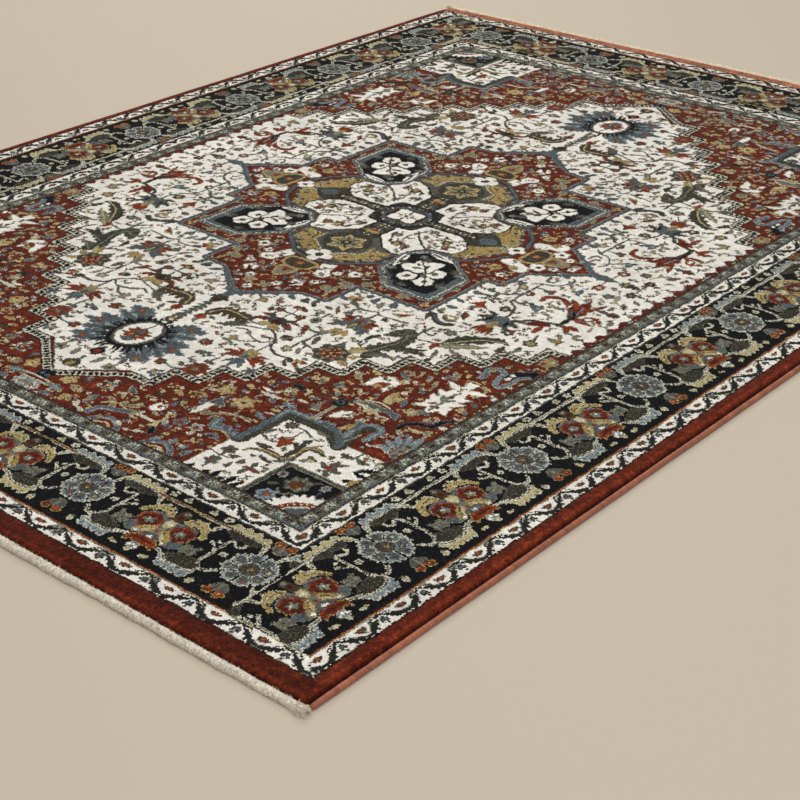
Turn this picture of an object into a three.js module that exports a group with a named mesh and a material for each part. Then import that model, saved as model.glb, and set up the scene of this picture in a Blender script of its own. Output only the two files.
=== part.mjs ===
// Area rug with a cut pile, a stepped medallion and a bordered field, in millimetres, +Z up.
// X runs across the width and Y along the length. The origin is the centre of the underside.
// The pile is modelled as one slab of tufts for each zone of the design, standing on the ground weave.
import * as THREE from "three";

// Overall size
const RUG_WIDTH = 1600;
const RUG_LENGTH = 2290;
const PIECE_GAP = 0.3; // clearance kept between neighbouring pieces

// Ground weave and pile
const WEAVE_THICKNESS = 2.6;
const PILE_HEIGHT = 10;

// Long sides: a cord wound round with serging yarn
const SERGING_DIAMETER = 7.6;
const SERGING_WALL = 1.3;
const TUBE_SEGMENTS = 20;

// Short ends: a band of cream yarn that wraps the cut end of the ground weave
const END_BAND_DEPTH = 10;
const END_BAND_WALL = 3.6;
const END_BAND_HEIGHT = 9.6;

// Widths of the design's zones, from the edge of the pile inwards
const RIM_SIDE_WIDTH = 20;
const RIM_END_WIDTH = 31;
const OUTER_GUARD_WIDTH = 28;
const MAIN_BORDER_WIDTH = 155;
const INNER_GUARD_WIDTH = 28.5;
const MINOR_GUARD_WIDTH = 24.5;

// Corner spandrels of the field
const SPANDREL_WIDTH = 204;
const SPANDREL_LENGTH = 184;
const SPANDREL_NOTCH = 30;

// Ivory medallion ground: stepped sides that end in a point near each end of the field
const GROUND_SHOULDER = 270; // half the length over which it fills the width of the field
const GROUND_STEPS = 9;
const GROUND_TIP_WIDTH = 80; // half-width where the steps end and the point begins
const GROUND_TIP_LENGTH = 72;
const GROUND_TIP_MARGIN = 64; // from the point to the end of the field

// Star in the middle of the medallion, and the rosette in the middle of the star
const STAR_BODY_REACH = { x: 274, y: 288 }; // half-sizes of its body
const STAR_ROOT_WIDTH = 131; // half-width of the root of each point
const STAR_ROOT_HEIGHT = { side: 24, end: 75 };
const STAR_POINT_WIDTH = { side: 68, end: 82 }; // half-width of each point on its root
const STAR_POINT_HEIGHT = { side: 84, end: 65 };
const ROSETTE_REACH = 176;
const ROSETTE_LOBES = 4;
const ROSETTE_ROOT = 96;

const rug = new THREE.Group();

// Adds one closed mesh to the rug under its own name.
function addPiece(name, geometry, material) {
  const mesh = new THREE.Mesh(geometry, material);
  mesh.name = name;
  rug.add(mesh);
  return mesh;
}

function yarn(color, roughness = 0.95) {
  return new THREE.MeshStandardMaterial({ color, roughness, metalness: 0 });
}

const jute = yarn(0xa8977a);
const rust = yarn(0x7a2c1e);
const ivory = yarn(0xd9d2c3);
const navy = yarn(0x23262d);
const slate = yarn(0x66747f);
const cream = yarn(0xd8cbb2);
const brown = yarn(0x9a5a40, 0.7);
const cotton = yarn(0xcfc6b4);

// Moves every edge of a counterclockwise outline inwards by a distance, or outwards if it is negative.
function inset(outline, distance) {
  const count = outline.length;
  return outline.map(([x, y], i) => {
    const [px, py] = outline[(i + count - 1) % count];
    const [nx, ny] = outline[(i + 1) % count];
    const before = new THREE.Vector2(x - px, y - py).normalize();
    const after = new THREE.Vector2(nx - x, ny - y).normalize();
    const turn = 1 + before.dot(after);
    const shiftX = (-before.y - after.y) / turn;
    const shiftY = (before.x + after.x) / turn;
    return [x + shiftX * distance, y + shiftY * distance];
  });
}

function isCounterclockwise(outline) {
  return !THREE.ShapeUtils.isClockWise(outline.map(([x, y]) => new THREE.Vector2(x, y)));
}

function counterclockwise(outline) {
  return isCounterclockwise(outline) ? outline : [...outline].reverse();
}

function toPath(outline, PathType) {
  return new PathType(outline.map(([x, y]) => new THREE.Vector2(x, y)));
}

// A slab of pile over an outline, with the clearance taken off all round and round its opening.
function addPile(name, outline, material, opening = null) {
  const edge = inset(counterclockwise(outline), PIECE_GAP / 2);
  const shape = toPath(edge, THREE.Shape);
  if (opening) {
    const rim = inset(counterclockwise(opening), -PIECE_GAP / 2);
    shape.holes.push(toPath(rim, THREE.Path));
  }
  const slab = new THREE.ExtrudeGeometry(shape, { depth: PILE_HEIGHT, bevelEnabled: false });
  const mesh = addPiece(name, slab, material);
  mesh.position.z = WEAVE_THICKNESS + PIECE_GAP;
}

function mirrored(outline, signX, signY) {
  return outline.map(([x, y]) => [x * signX, y * signY]);
}

// One border stripe as four mitred bars, between the half-sizes of its outer and inner edges.
function addStripe(name, outer, inner, material) {
  const right = [
    [inner.x, -inner.y],
    [outer.x, -outer.y],
    [outer.x, outer.y],
    [inner.x, inner.y],
  ];
  const back = [
    [inner.x, inner.y],
    [outer.x, outer.y],
    [-outer.x, outer.y],
    [-inner.x, inner.y],
  ];
  addPile(`${name}_right`, right, material);
  addPile(`${name}_left`, mirrored(right, -1, 1), material);
  addPile(`${name}_back`, back, material);
  addPile(`${name}_front`, mirrored(back, 1, -1), material);
}

const pileEdge = {
  x: RUG_WIDTH / 2 - SERGING_DIAMETER - PIECE_GAP / 2,
  y: RUG_LENGTH / 2 - END_BAND_DEPTH - PIECE_GAP / 2,
};

// Ground weave, which runs up to the round of the serging and under the end bands
const sergingRadius = SERGING_DIAMETER / 2;
const weaveRise = Math.min(WEAVE_THICKNESS, sergingRadius);
const roundAtWeave = Math.sqrt(sergingRadius ** 2 - (sergingRadius - weaveRise) ** 2);
const weaveWidth = RUG_WIDTH - 2 * (sergingRadius + roundAtWeave + PIECE_GAP);
const weaveLength = RUG_LENGTH - 2 * (END_BAND_WALL + PIECE_GAP);
const weave = addPiece(
  "ground_weave",
  new THREE.BoxGeometry(weaveWidth, weaveLength, WEAVE_THICKNESS),
  jute,
);
weave.position.z = WEAVE_THICKNESS / 2;

// Border stripes, each inside the one before
const stripes = [
  ["rim_pile", RIM_SIDE_WIDTH, RIM_END_WIDTH, rust],
  ["outer_guard_pile", OUTER_GUARD_WIDTH, OUTER_GUARD_WIDTH, ivory],
  ["main_border_pile", MAIN_BORDER_WIDTH, MAIN_BORDER_WIDTH, navy],
  ["inner_guard_pile", INNER_GUARD_WIDTH, INNER_GUARD_WIDTH, ivory],
  ["minor_guard_pile", MINOR_GUARD_WIDTH, MINOR_GUARD_WIDTH, slate],
];
let edge = pileEdge;
for (const [name, sideWidth, endWidth, material] of stripes) {
  const next = { x: edge.x - sideWidth, y: edge.y - endWidth };
  addStripe(name, edge, next, material);
  edge = next;
}
const field = edge;

// Ivory medallion ground: its corner points in the quarter of the rug where X and Y are positive,
// from the shoulder at the side of the field to the point at the end
const groundPoint = field.y - GROUND_TIP_MARGIN;
const tipRoot = groundPoint - GROUND_TIP_LENGTH;
const stepWidth = (field.x - GROUND_TIP_WIDTH) / (GROUND_STEPS + 1);
const stepLength = (tipRoot - GROUND_SHOULDER) / GROUND_STEPS;
const groundSteps = [[field.x, GROUND_SHOULDER]];
for (let i = 0; i < GROUND_STEPS; i++) {
  const x = field.x - (i + 1) * stepWidth;
  groundSteps.push([x, GROUND_SHOULDER + i * stepLength]);
  groundSteps.push([x, GROUND_SHOULDER + (i + 1) * stepLength]);
}
groundSteps.push([GROUND_TIP_WIDTH, tipRoot]);

// Closes a quarter outline, given from the +X side to the +Y end, into the whole figure, with a point
// at each end and, where it has them, at each side.
function fourFold(quarter, endPoint, sidePoint = null) {
  const flipped = [...quarter].reverse();
  const sides = sidePoint === null ? [[], []] : [[[sidePoint, 0]], [[-sidePoint, 0]]];
  return [
    ...sides[0],
    ...quarter,
    [0, endPoint],
    ...mirrored(flipped, -1, 1),
    ...sides[1],
    ...mirrored(quarter, -1, -1),
    [0, -endPoint],
    ...mirrored(flipped, 1, -1),
  ];
}

// Star: a body with a point on each side and each end, each point standing on a square root
const sideRoot = STAR_BODY_REACH.x + STAR_ROOT_HEIGHT.side;
const endRoot = STAR_BODY_REACH.y + STAR_ROOT_HEIGHT.end;
const starQuarter = [
  [sideRoot, STAR_POINT_WIDTH.side],
  [sideRoot, STAR_ROOT_WIDTH],
  [STAR_BODY_REACH.x, STAR_ROOT_WIDTH],
  [STAR_BODY_REACH.x, STAR_BODY_REACH.y],
  [STAR_ROOT_WIDTH, STAR_BODY_REACH.y],
  [STAR_ROOT_WIDTH, endRoot],
  [STAR_POINT_WIDTH.end, endRoot],
];
const star = fourFold(starQuarter, endRoot + STAR_POINT_HEIGHT.end, sideRoot + STAR_POINT_HEIGHT.side);

// Rosette: pointed lobes on the diagonals
const rosette = [];
for (let i = 0; i < 2 * ROSETTE_LOBES; i++) {
  const angle = (i * Math.PI) / ROSETTE_LOBES;
  const reach = i % 2 ? ROSETTE_REACH : ROSETTE_ROOT;
  rosette.push([reach * Math.cos(angle), reach * Math.sin(angle)]);
}

addPile("medallion_ground_pile", fourFold(groundSteps, groundPoint), ivory, star);
addPile("medallion_star_pile", star, rust, rosette);
addPile("centre_rosette_pile", rosette, ivory);

// Corner spandrels, and the rust field between them and the medallion, a quarter at a time
const spandrelX = field.x - SPANDREL_WIDTH;
const spandrelY = field.y - SPANDREL_LENGTH;
const spandrelSteps = [
  [field.x, spandrelY],
  [spandrelX + SPANDREL_NOTCH, spandrelY],
  [spandrelX + SPANDREL_NOTCH, spandrelY + SPANDREL_NOTCH],
  [spandrelX, spandrelY + SPANDREL_NOTCH],
  [spandrelX, field.y],
];
const spandrel = [...spandrelSteps, [field.x, field.y]];
const fieldQuarter = [...groundSteps, [0, groundPoint], [0, field.y], ...[...spandrelSteps].reverse()];
const quarters = [
  ["front_left", -1, -1],
  ["front_right", 1, -1],
  ["back_left", -1, 1],
  ["back_right", 1, 1],
];
for (const [place, signX, signY] of quarters) {
  addPile(`field_pile_${place}`, mirrored(fieldQuarter, signX, signY), rust);
  addPile(`spandrel_pile_${place}`, mirrored(spandrel, signX, signY), ivory);
}

// Serging: a tube of wound yarn, with the selvedge cord inside it, along each long side
const sergingLength = RUG_LENGTH - 2 * (END_BAND_DEPTH + PIECE_GAP);
const cordRadius = sergingRadius - SERGING_WALL - PIECE_GAP;

function tubeAlongY(outerRadius, innerRadius, length) {
  const shape = new THREE.Shape().absarc(0, 0, outerRadius, 0, 2 * Math.PI);
  if (innerRadius > 0) {
    shape.holes.push(new THREE.Path().absarc(0, 0, innerRadius, 0, 2 * Math.PI));
  }
  const tube = new THREE.ExtrudeGeometry(shape, {
    depth: length,
    curveSegments: TUBE_SEGMENTS,
    bevelEnabled: false,
  });
  return tube.translate(0, 0, -length / 2).rotateX(Math.PI / 2);
}

for (const [side, sign] of [["left", -1], ["right", 1]]) {
  const x = sign * (RUG_WIDTH / 2 - sergingRadius);
  const serging = tubeAlongY(sergingRadius, sergingRadius - SERGING_WALL, sergingLength);
  const cord = tubeAlongY(cordRadius, 0, sergingLength);
  addPiece(`side_serging_${side}`, serging, brown).position.set(x, 0, sergingRadius);
  addPiece(`selvedge_cord_${side}`, cord, cotton).position.set(x, 0, sergingRadius);
}

// End bands: an angle section that covers the cut end of the weave and laps over its bare margin
const lapUnderside = WEAVE_THICKNESS + PIECE_GAP;
const bandTop = Math.max(END_BAND_HEIGHT, lapUnderside + END_BAND_WALL);
const bandSection = new THREE.Shape(
  [
    [0, 0],
    [END_BAND_WALL, 0],
    [END_BAND_WALL, lapUnderside],
    [END_BAND_DEPTH, lapUnderside],
    [END_BAND_DEPTH, bandTop],
    [0, bandTop],
  ].map(([y, z]) => new THREE.Vector2(y, z)),
);
// Turns the section's X to the rug's Y and its Y to Z, so that the extrusion runs along X
const acrossWidth = new THREE.Matrix4().makeBasis(
  new THREE.Vector3(0, 1, 0),
  new THREE.Vector3(0, 0, 1),
  new THREE.Vector3(1, 0, 0),
);
for (const [end, turn] of [["front", 0], ["back", Math.PI]]) {
  const band = new THREE.ExtrudeGeometry(bandSection, { depth: RUG_WIDTH, bevelEnabled: false });
  band.applyMatrix4(acrossWidth).translate(-RUG_WIDTH / 2, -RUG_LENGTH / 2, 0);
  addPiece(`end_band_${end}`, band, cream).rotation.z = turn;
}

export default rug;
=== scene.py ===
"""Area rug: a machine-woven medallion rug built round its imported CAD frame."""

import cmath
import math

import bpy
import numpy as np
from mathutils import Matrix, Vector


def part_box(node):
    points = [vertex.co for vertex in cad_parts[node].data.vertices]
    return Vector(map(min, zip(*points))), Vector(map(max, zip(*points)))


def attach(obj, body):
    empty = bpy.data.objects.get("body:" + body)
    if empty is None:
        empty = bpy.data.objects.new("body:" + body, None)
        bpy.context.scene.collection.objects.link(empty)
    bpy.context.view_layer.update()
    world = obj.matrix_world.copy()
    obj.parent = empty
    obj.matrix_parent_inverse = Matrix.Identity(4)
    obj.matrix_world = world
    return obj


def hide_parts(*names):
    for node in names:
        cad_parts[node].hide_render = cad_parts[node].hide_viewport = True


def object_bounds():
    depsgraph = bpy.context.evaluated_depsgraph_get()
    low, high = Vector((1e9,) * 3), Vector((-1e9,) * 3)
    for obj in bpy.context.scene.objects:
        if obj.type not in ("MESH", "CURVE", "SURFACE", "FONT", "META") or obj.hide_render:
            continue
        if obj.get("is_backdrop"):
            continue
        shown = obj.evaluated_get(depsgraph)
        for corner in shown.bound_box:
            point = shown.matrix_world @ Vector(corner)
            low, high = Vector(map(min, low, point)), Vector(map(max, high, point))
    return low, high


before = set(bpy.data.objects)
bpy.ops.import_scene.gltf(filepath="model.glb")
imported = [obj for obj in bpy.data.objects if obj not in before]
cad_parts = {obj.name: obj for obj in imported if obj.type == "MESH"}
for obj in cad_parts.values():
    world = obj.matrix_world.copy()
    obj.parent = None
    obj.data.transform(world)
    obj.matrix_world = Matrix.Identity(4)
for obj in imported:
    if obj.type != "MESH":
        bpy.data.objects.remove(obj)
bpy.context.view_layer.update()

MM = 0.001
TUFT = 1.5  # mm from one tuft to the next
rng = np.random.default_rng(7)

# ---- Design ----
# The design is drawn as on a weaver's squared paper, in millimetres. Points are complex numbers:
# in the field the real part runs across the rug from its centre and the imaginary part along it.
YARNS = {
    "rust": (91, 33, 15),
    "brick": (116, 46, 22),
    "wine": (58, 22, 16),
    "ivory": (224, 219, 208),
    "cream": (190, 186, 164),
    "navy": (10, 11, 14),
    "slate": (74, 84, 88),
    "sky": (120, 134, 140),
    "gold": (150, 126, 72),
    "straw": (180, 168, 122),
    "olive": (54, 52, 42),
    "sage": (112, 112, 96),
    "bark": (74, 54, 38),
    "smoke": (80, 78, 72),
    "umber": (50, 45, 36),
    "ink": (34, 34, 30),
    "copper": (104, 56, 26),
    "clay": (144, 82, 46),
}
# What share of a yarn's tufts is spun with another yarn, which gives the figures their flecks
FLECKS = (("rust", "wine", 0.22), ("rust", "brick", 0.08), ("brick", "rust", 0.25),
          ("brick", "copper", 0.2), ("brick", "clay", 0.12), ("navy", "olive", 0.07),
          ("slate", "smoke", 0.28), ("slate", "navy", 0.12), ("slate", "sky", 0.12), ("sky", "slate", 0.28),
          ("sky", "cream", 0.14), ("sky", "sage", 0.1), ("gold", "straw", 0.22), ("gold", "bark", 0.18),
          ("straw", "gold", 0.25), ("straw", "sage", 0.2), ("sage", "smoke", 0.3), ("sage", "straw", 0.08),
          ("smoke", "olive", 0.3), ("smoke", "sage", 0.12), ("olive", "ink", 0.3), ("olive", "sage", 0.1),
          ("cream", "sage", 0.2), ("cream", "ivory", 0.15), ("bark", "ink", 0.25), ("umber", "ink", 0.3),
          ("umber", "sage", 0.12), ("copper", "ink", 0.2))
NUMBERS = {name: number for number, name in enumerate(YARNS)}


def bearing(degrees):
    """A step of one in a direction, as a complex number."""
    return cmath.exp(1j * math.radians(degrees))


def smooth(points, closed):
    """A round curve through the points."""
    z = np.asarray(points, complex)
    if closed:
        z = np.concatenate([z[-1:], z, z[:2]])
    else:
        z = np.concatenate([2 * z[:1] - z[1:2], z, 2 * z[-1:] - z[-2:-1]])
    t = np.linspace(0, 1, 7)[:-1, None]
    a, b, c, d = z[:-3], z[1:-2], z[2:-1], z[3:]
    bends = b + t * ((c - a) / 2) + t**2 * (a - 2.5 * b + 2 * c - d / 2)
    bends = bends + t**3 * ((d - a) / 2 + 1.5 * (b - c))
    curve = bends.T.ravel()
    return curve if closed else np.append(curve, z[-2])


class Pen:
    """Draws on a sheet of tufts, in a frame of its own: moved, turned, scaled or mirrored."""

    def __init__(self, sheet, step, origin=0j, turn=1 + 0j, flipped=False):
        self.sheet, self.step = sheet, step
        self.origin, self.turn, self.flipped = origin, turn, flipped

    def at(self, x, y, angle=0, size=1, flip=False):
        """A pen in a frame inside this one."""
        origin = self.place(complex(x, y))
        turn = size * bearing(angle)
        turn = self.turn * (turn.conjugate() if self.flipped else turn)
        return Pen(self.sheet, self.step, origin, turn, self.flipped != flip)

    def place(self, z):
        """Where a point of this frame is on the sheet."""
        z = np.conj(z) if self.flipped else z
        return self.origin + self.turn * z

    def window(self, z, margin):
        """The rows and columns round some points, and where their tufts are."""
        low_x = max(int((z.real.min() - margin) / self.step), 0)
        low_y = max(int((z.imag.min() - margin) / self.step), 0)
        high_x = min(int((z.real.max() + margin) / self.step) + 2, self.sheet.shape[1])
        high_y = min(int((z.imag.max() + margin) / self.step) + 2, self.sheet.shape[0])
        if high_x <= low_x or high_y <= low_y:
            return None, None
        x = (np.arange(low_x, high_x) + 0.5) * self.step
        y = (np.arange(low_y, high_y) + 0.5) * self.step
        return (slice(low_y, high_y), slice(low_x, high_x)), x[None, :] + 1j * y[:, None]

    def fill(self, yarn, outline):
        """A patch with straight sides."""
        z = self.place(np.asarray(outline, complex))
        spot, cells = self.window(z, 0)
        if spot is None:
            return
        inside = np.zeros(cells.shape, bool)
        for a, b in zip(z, np.roll(z, -1)):
            if a.imag != b.imag:
                crossing = a.real + (cells.imag - a.imag) * (b.real - a.real) / (b.imag - a.imag)
                inside ^= ((a.imag > cells.imag) != (b.imag > cells.imag)) & (cells.real < crossing)
        self.sheet[spot][inside] = NUMBERS[yarn]

    def blob(self, yarn, outline):
        """A patch with round sides."""
        self.fill(yarn, smooth(outline, True))

    def line(self, yarn, width, points, curved=True):
        """A stroke of even width."""
        z = self.place(smooth(points, False) if curved and len(points) > 2 else np.asarray(points, complex))
        reach = width / 2 * abs(self.turn)
        for a, b in zip(z[:-1], z[1:]):
            spot, cells = self.window(np.array([a, b]), reach)
            if spot is None:
                continue
            along = (b - a) or 1e-9
            share = np.clip(((cells - a) * np.conj(along)).real / abs(along) ** 2, 0, 1)
            self.sheet[spot][abs(cells - a - share * along) <= reach] = NUMBERS[yarn]

    def disc(self, yarn, x, y, radius, tall=None):
        """A round patch, or an oval one if it has a height."""
        turns = np.exp(2j * np.pi * np.arange(20) / 20)
        self.fill(yarn, complex(x, y) + radius * turns.real + 1j * (tall or radius) * turns.imag)

    def leaf(self, yarn, base, tip, width, bend=0.0, teeth=0, bite=0.3):
        """A leaf between two points, which may bend to its left and have toothed sides."""
        count = max(4 * teeth, 12)
        t = np.linspace(0, 1, count + 1)
        axis = tip - base
        spine = base + axis * t + 1j * axis * bend * 4 * t * (1 - t)
        half = width / 2 * np.sin(np.pi * t**0.8) ** 0.8
        if teeth:
            half = half * (1 - bite * ((np.arange(count + 1) % 4) > 1))
        across = 1j * axis / abs(axis) + axis / abs(axis) * bend * 4 * (1 - 2 * t)
        across = across / abs(across)
        outline = np.concatenate([spine + across * half, (spine - across * half)[::-1]])
        self.fill(yarn, outline)

    def petals(self, yarn, count, reach, width, x=0, y=0, start=0.0, root=0.25):
        """Leaves all round a point, which begin at a share of their reach."""
        for k in range(count):
            turn = bearing(start + 360 * k / count)
            centre = complex(x, y)
            self.leaf(yarn, centre + turn * reach * root, centre + turn * reach, width)

    def floret(self, x, y, radius, petal, heart, count=5, turn=0):
        """A small flower of round petals with a heart."""
        for k in range(count):
            z = 0.56 * radius * bearing(turn + 360 * k / count)
            self.disc(petal, x + z.real, y + z.imag, 0.44 * radius)
        self.disc(heart, x, y, radius * 0.3)

    def sprig(self, x, y, angle, size, leaf, flower, stem):
        """A curved stem with two leaves and a little flower."""
        pen = self.at(x, y, angle, size)
        pen.line(stem, 2.2, (-12 - 3j, -4 + 1j, 6 + 1j, 12 - 2j))
        pen.leaf(leaf, -6 + 0j, 2 + 9j, 5)
        pen.leaf(leaf, 0, 8 - 9j, 5)
        pen.petals(flower, 5, 6, 5, 13, -2)
        pen.disc(stem, 13, -2, 1.6)

    def bud(self, x, y, angle, size, cup, tip, stem="smoke"):
        """A bud on a short stem, which points along its angle: a cup of leaves round a bright tip."""
        pen = self.at(x, y, angle, size)
        pen.line(stem, 2.4, (-14, -4), False)
        pen.leaf(tip, -5 + 0j, 12 + 0j, 12)
        pen.leaf(cup, -6 + 0j, 7 + 7j, 6, 0.15)
        pen.leaf(cup, -6 + 0j, 7 - 7j, 6, -0.15)


def edged_line(pen, inner, outer, inner_width, outer_width, points, curved=True):
    """A stroke with an edge of another yarn."""
    pen.line(outer, outer_width, points, curved)
    pen.line(inner, inner_width, points, curved)


# Sizes of the design, in millimetres
BORDER_WIDTH = 155
GUARD_WIDTH = 28
MINOR_WIDTH = 24.5
SIDE_REPEAT = 282.5  # from one palmette cluster to the next along a long side
END_REPEAT = 286.8  # and along a short end
GUARD_REPEAT = 72
MINOR_REPEAT = 37.5


def new_sheet(width, height, ground):
    """A sheet of tufts of one yarn, given its size in millimetres."""
    return np.full((math.ceil(height / TUFT), math.ceil(width / TUFT)), NUMBERS[ground], np.uint8)


def outline(sheet, ground, edges):
    """Gives figures on a ground one-tuft edges, from pairs of a figure's yarn and its edge's."""
    bare = sheet == NUMBERS[ground]
    beside = np.zeros(sheet.shape, bool)
    beside[1:] |= bare[:-1]
    beside[:-1] |= bare[1:]
    beside[:, 1:] |= bare[:, :-1]
    beside[:, :-1] |= bare[:, 1:]
    for figure, edge in edges:
        sheet[beside & (sheet == NUMBERS[figure])] = NUMBERS[edge] + 100
    sheet[sheet >= 100] -= 100


def draw_cluster(pen, vine):
    """Half of a palmette cluster of the main border, on its own axis: the other half mirrors it."""
    edged_line(pen, "olive", vine, 1.6, 5, (0 + 22j, 62 + 22j), False)
    pen.blob("smoke", (0 + 56j, 12 + 58j, 28 + 52j, 44 + 64j, 42 + 84j, 46 + 98j, 34 + 108j, 20 + 104j,
                       0 + 100j))
    pen.blob("slate", (26 + 88j, 36 + 84j, 46 + 90j, 44 + 100j, 34 + 106j, 24 + 102j))
    pen.blob("slate", (10 + 56j, 22 + 52j, 38 + 56j, 36 + 62j, 12 + 64j))
    pen.blob("gold", (9 + 51j, 13 + 40j, 18 + 42j, 22 + 32j, 28 + 36j, 33 + 30j, 38 + 38j, 44 + 40j,
                      50 + 50j, 56 + 62j, 50 + 66j, 42 + 55j, 30 + 49j, 20 + 53j))
    pen.blob("straw", (16 + 50j, 22 + 40j, 34 + 40j, 44 + 48j, 50 + 58j, 40 + 50j, 28 + 46j))
    pen.petals("brick", 6, 20, 14, 27, 74, 20)
    pen.petals("clay", 6, 21, 4, 27, 74, 50, 0.7)
    pen.petals("rust", 6, 18, 11, 27, 74, 20)
    pen.petals("wine", 6, 17, 3.2, 27, 74, 50, 0.3)
    pen.disc("ink", 27, 74, 7.5)
    pen.petals("sage", 5, 9, 6, 27, 74, 20, 0)
    pen.disc("cream", 28, 73, 2)
    pen.line("bark", 1.6, (14 + 46j, 24 + 42j, 38 + 46j, 48 + 58j))
    pen.line("cream", 1.6, (12 + 42j, 20 + 34j), False)
    pen.line("cream", 1.6, (30 + 32j, 44 + 42j), False)
    pen.blob("gold", (6 + 80j, 14 + 80j, 22 + 88j, 30 + 102j, 24 + 108j, 18 + 100j, 10 + 94j, 4 + 92j))
    pen.blob("straw", (7 + 84j, 14 + 86j, 22 + 98j, 20 + 102j, 10 + 92j))
    pen.line("bark", 1.6, (10 + 84j, 18 + 92j, 22 + 102j))
    pen.disc("ivory", 24, 103, 3)
    pen.blob("sage", (0 + 78j, 5 + 80j, 6 + 88j, 0 + 94j))
    pen.disc("brick", 0, 88, 3, 4)
    pen.blob("slate", (0 + 92j, 6 + 96j, 9 + 106j, 0 + 110j))
    pen.disc("ivory", 0, 102, 4.5, 5)
    pen.blob("straw", (0 + 54j, 6 + 58j, 8 + 66j, 4 + 74j, 0 + 76j))
    pen.disc("cream", 0, 66, 4, 5)
    pen.blob("bark", (0 + 30j, 8 + 36j, 6 + 46j, 8 + 52j, 0 + 56j))
    pen.disc("sage", 0, 35, 4)
    pen.disc("wine", 0, 46, 4)
    pen.fill("brick", (0 + 102j, 8 + 106j, 12 + 103j, 18 + 106j, 26 + 116j, 22 + 119j, 25 + 126j, 12 + 120j,
                       6 + 124j, 0 + 120j))
    pen.fill("rust", (0 + 106j, 10 + 109j, 20 + 112j, 20 + 116j, 10 + 114j, 0 + 117j))
    pen.line("wine", 2.5, (0 + 111j, 14 + 113j), False)
    pen.blob("sky", (0 + 120j, 7 + 124j, 8 + 132j, 0 + 136j))
    pen.disc("ivory", 6, 129, 3)
    pen.disc("ivory", 0, 126, 3)
    pen.disc("straw", 0, 138, 4)
    pen.disc("straw", 24, 138, 4, 3)
    pen.disc("gold", 30, 137, 3)
    pen.blob("straw", (15 + 14j, 18 + 8j, 22 + 4j, 26 + 8j, 28 + 14j))
    pen.disc("sage", 22, 10, 3)
    pen.petals("cream", 5, 7, 5, 48, 10)
    pen.disc("navy", 48, 10, 2)


def draw_rosette(pen):
    """Half of a border rosette, with the two half flowers beside it."""
    lobes = (-12, -5 + 9j, 5 + 13j, 12 + 10j, 12 + 4j, 16, 12 - 4j, 12 - 10j, 5 - 13j, -5 - 9j)
    hearts = ("sage", "brick", "olive", "gold", "sage", "wine", "olive", "straw")
    for k in range(8):
        turn = bearing(45 * k + 22.5)
        petal = pen.at(22 * turn.real, 73 + 22 * turn.imag, 45 * k + 22.5)
        petal.blob("cream", lobes)
        petal.blob("sky", [0.86 * z for z in lobes])
        petal.blob("slate", [0.66 * z for z in lobes])
        petal.leaf("smoke", -9 + 0j, 10 + 0j, 7)
        petal.line("sky", 1.5, (2 + 8j, 9 + 6j), False)
        petal.line("sky", 1.5, (2 - 8j, 9 - 6j), False)
        petal.disc(hearts[k], 3, 0, 2.6)
    for k in range(8):
        turn = bearing(45 * k)
        pen.line("navy", 2.2, (73j + 13 * turn, 73j + 34 * turn), False)
    pen.disc("sky", 0, 73, 15)
    pen.disc("umber", 0, 73, 13)
    pen.petals("smoke", 8, 13, 6, 0, 73, 22.5, 0)
    pen.petals("bark", 8, 11, 5, 0, 73, 0, 0)
    pen.disc("olive", 0, 73, 6)
    pen.disc("gold", 1, 73, 3.2)
    pen.disc("sage", 0, 73, 1.8)
    for near, far in ((8, 30), (136, 112)):
        out = 1 if far > near else -1
        pen.fill("smoke", (0 + 1j * far, 6 + 1j * (far - 2 * out), 15 + 1j * (near + 10 * out),
                           0 + 1j * (near + 3 * out)))
        pen.leaf("slate", 0 + 1j * (near + 8 * out), 14 + 1j * (near + 10 * out), 6)
        pen.leaf("sage", 0 + 1j * (far - 3 * out), 0 + 1j * (near + 4 * out), 5)
        pen.petals("brick", 5, 8.5, 8, 9, near + out)
        pen.disc("brick", 9, near + out, 5)
        pen.disc("gold", 9, near + 2 * out, 1.8)


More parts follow.
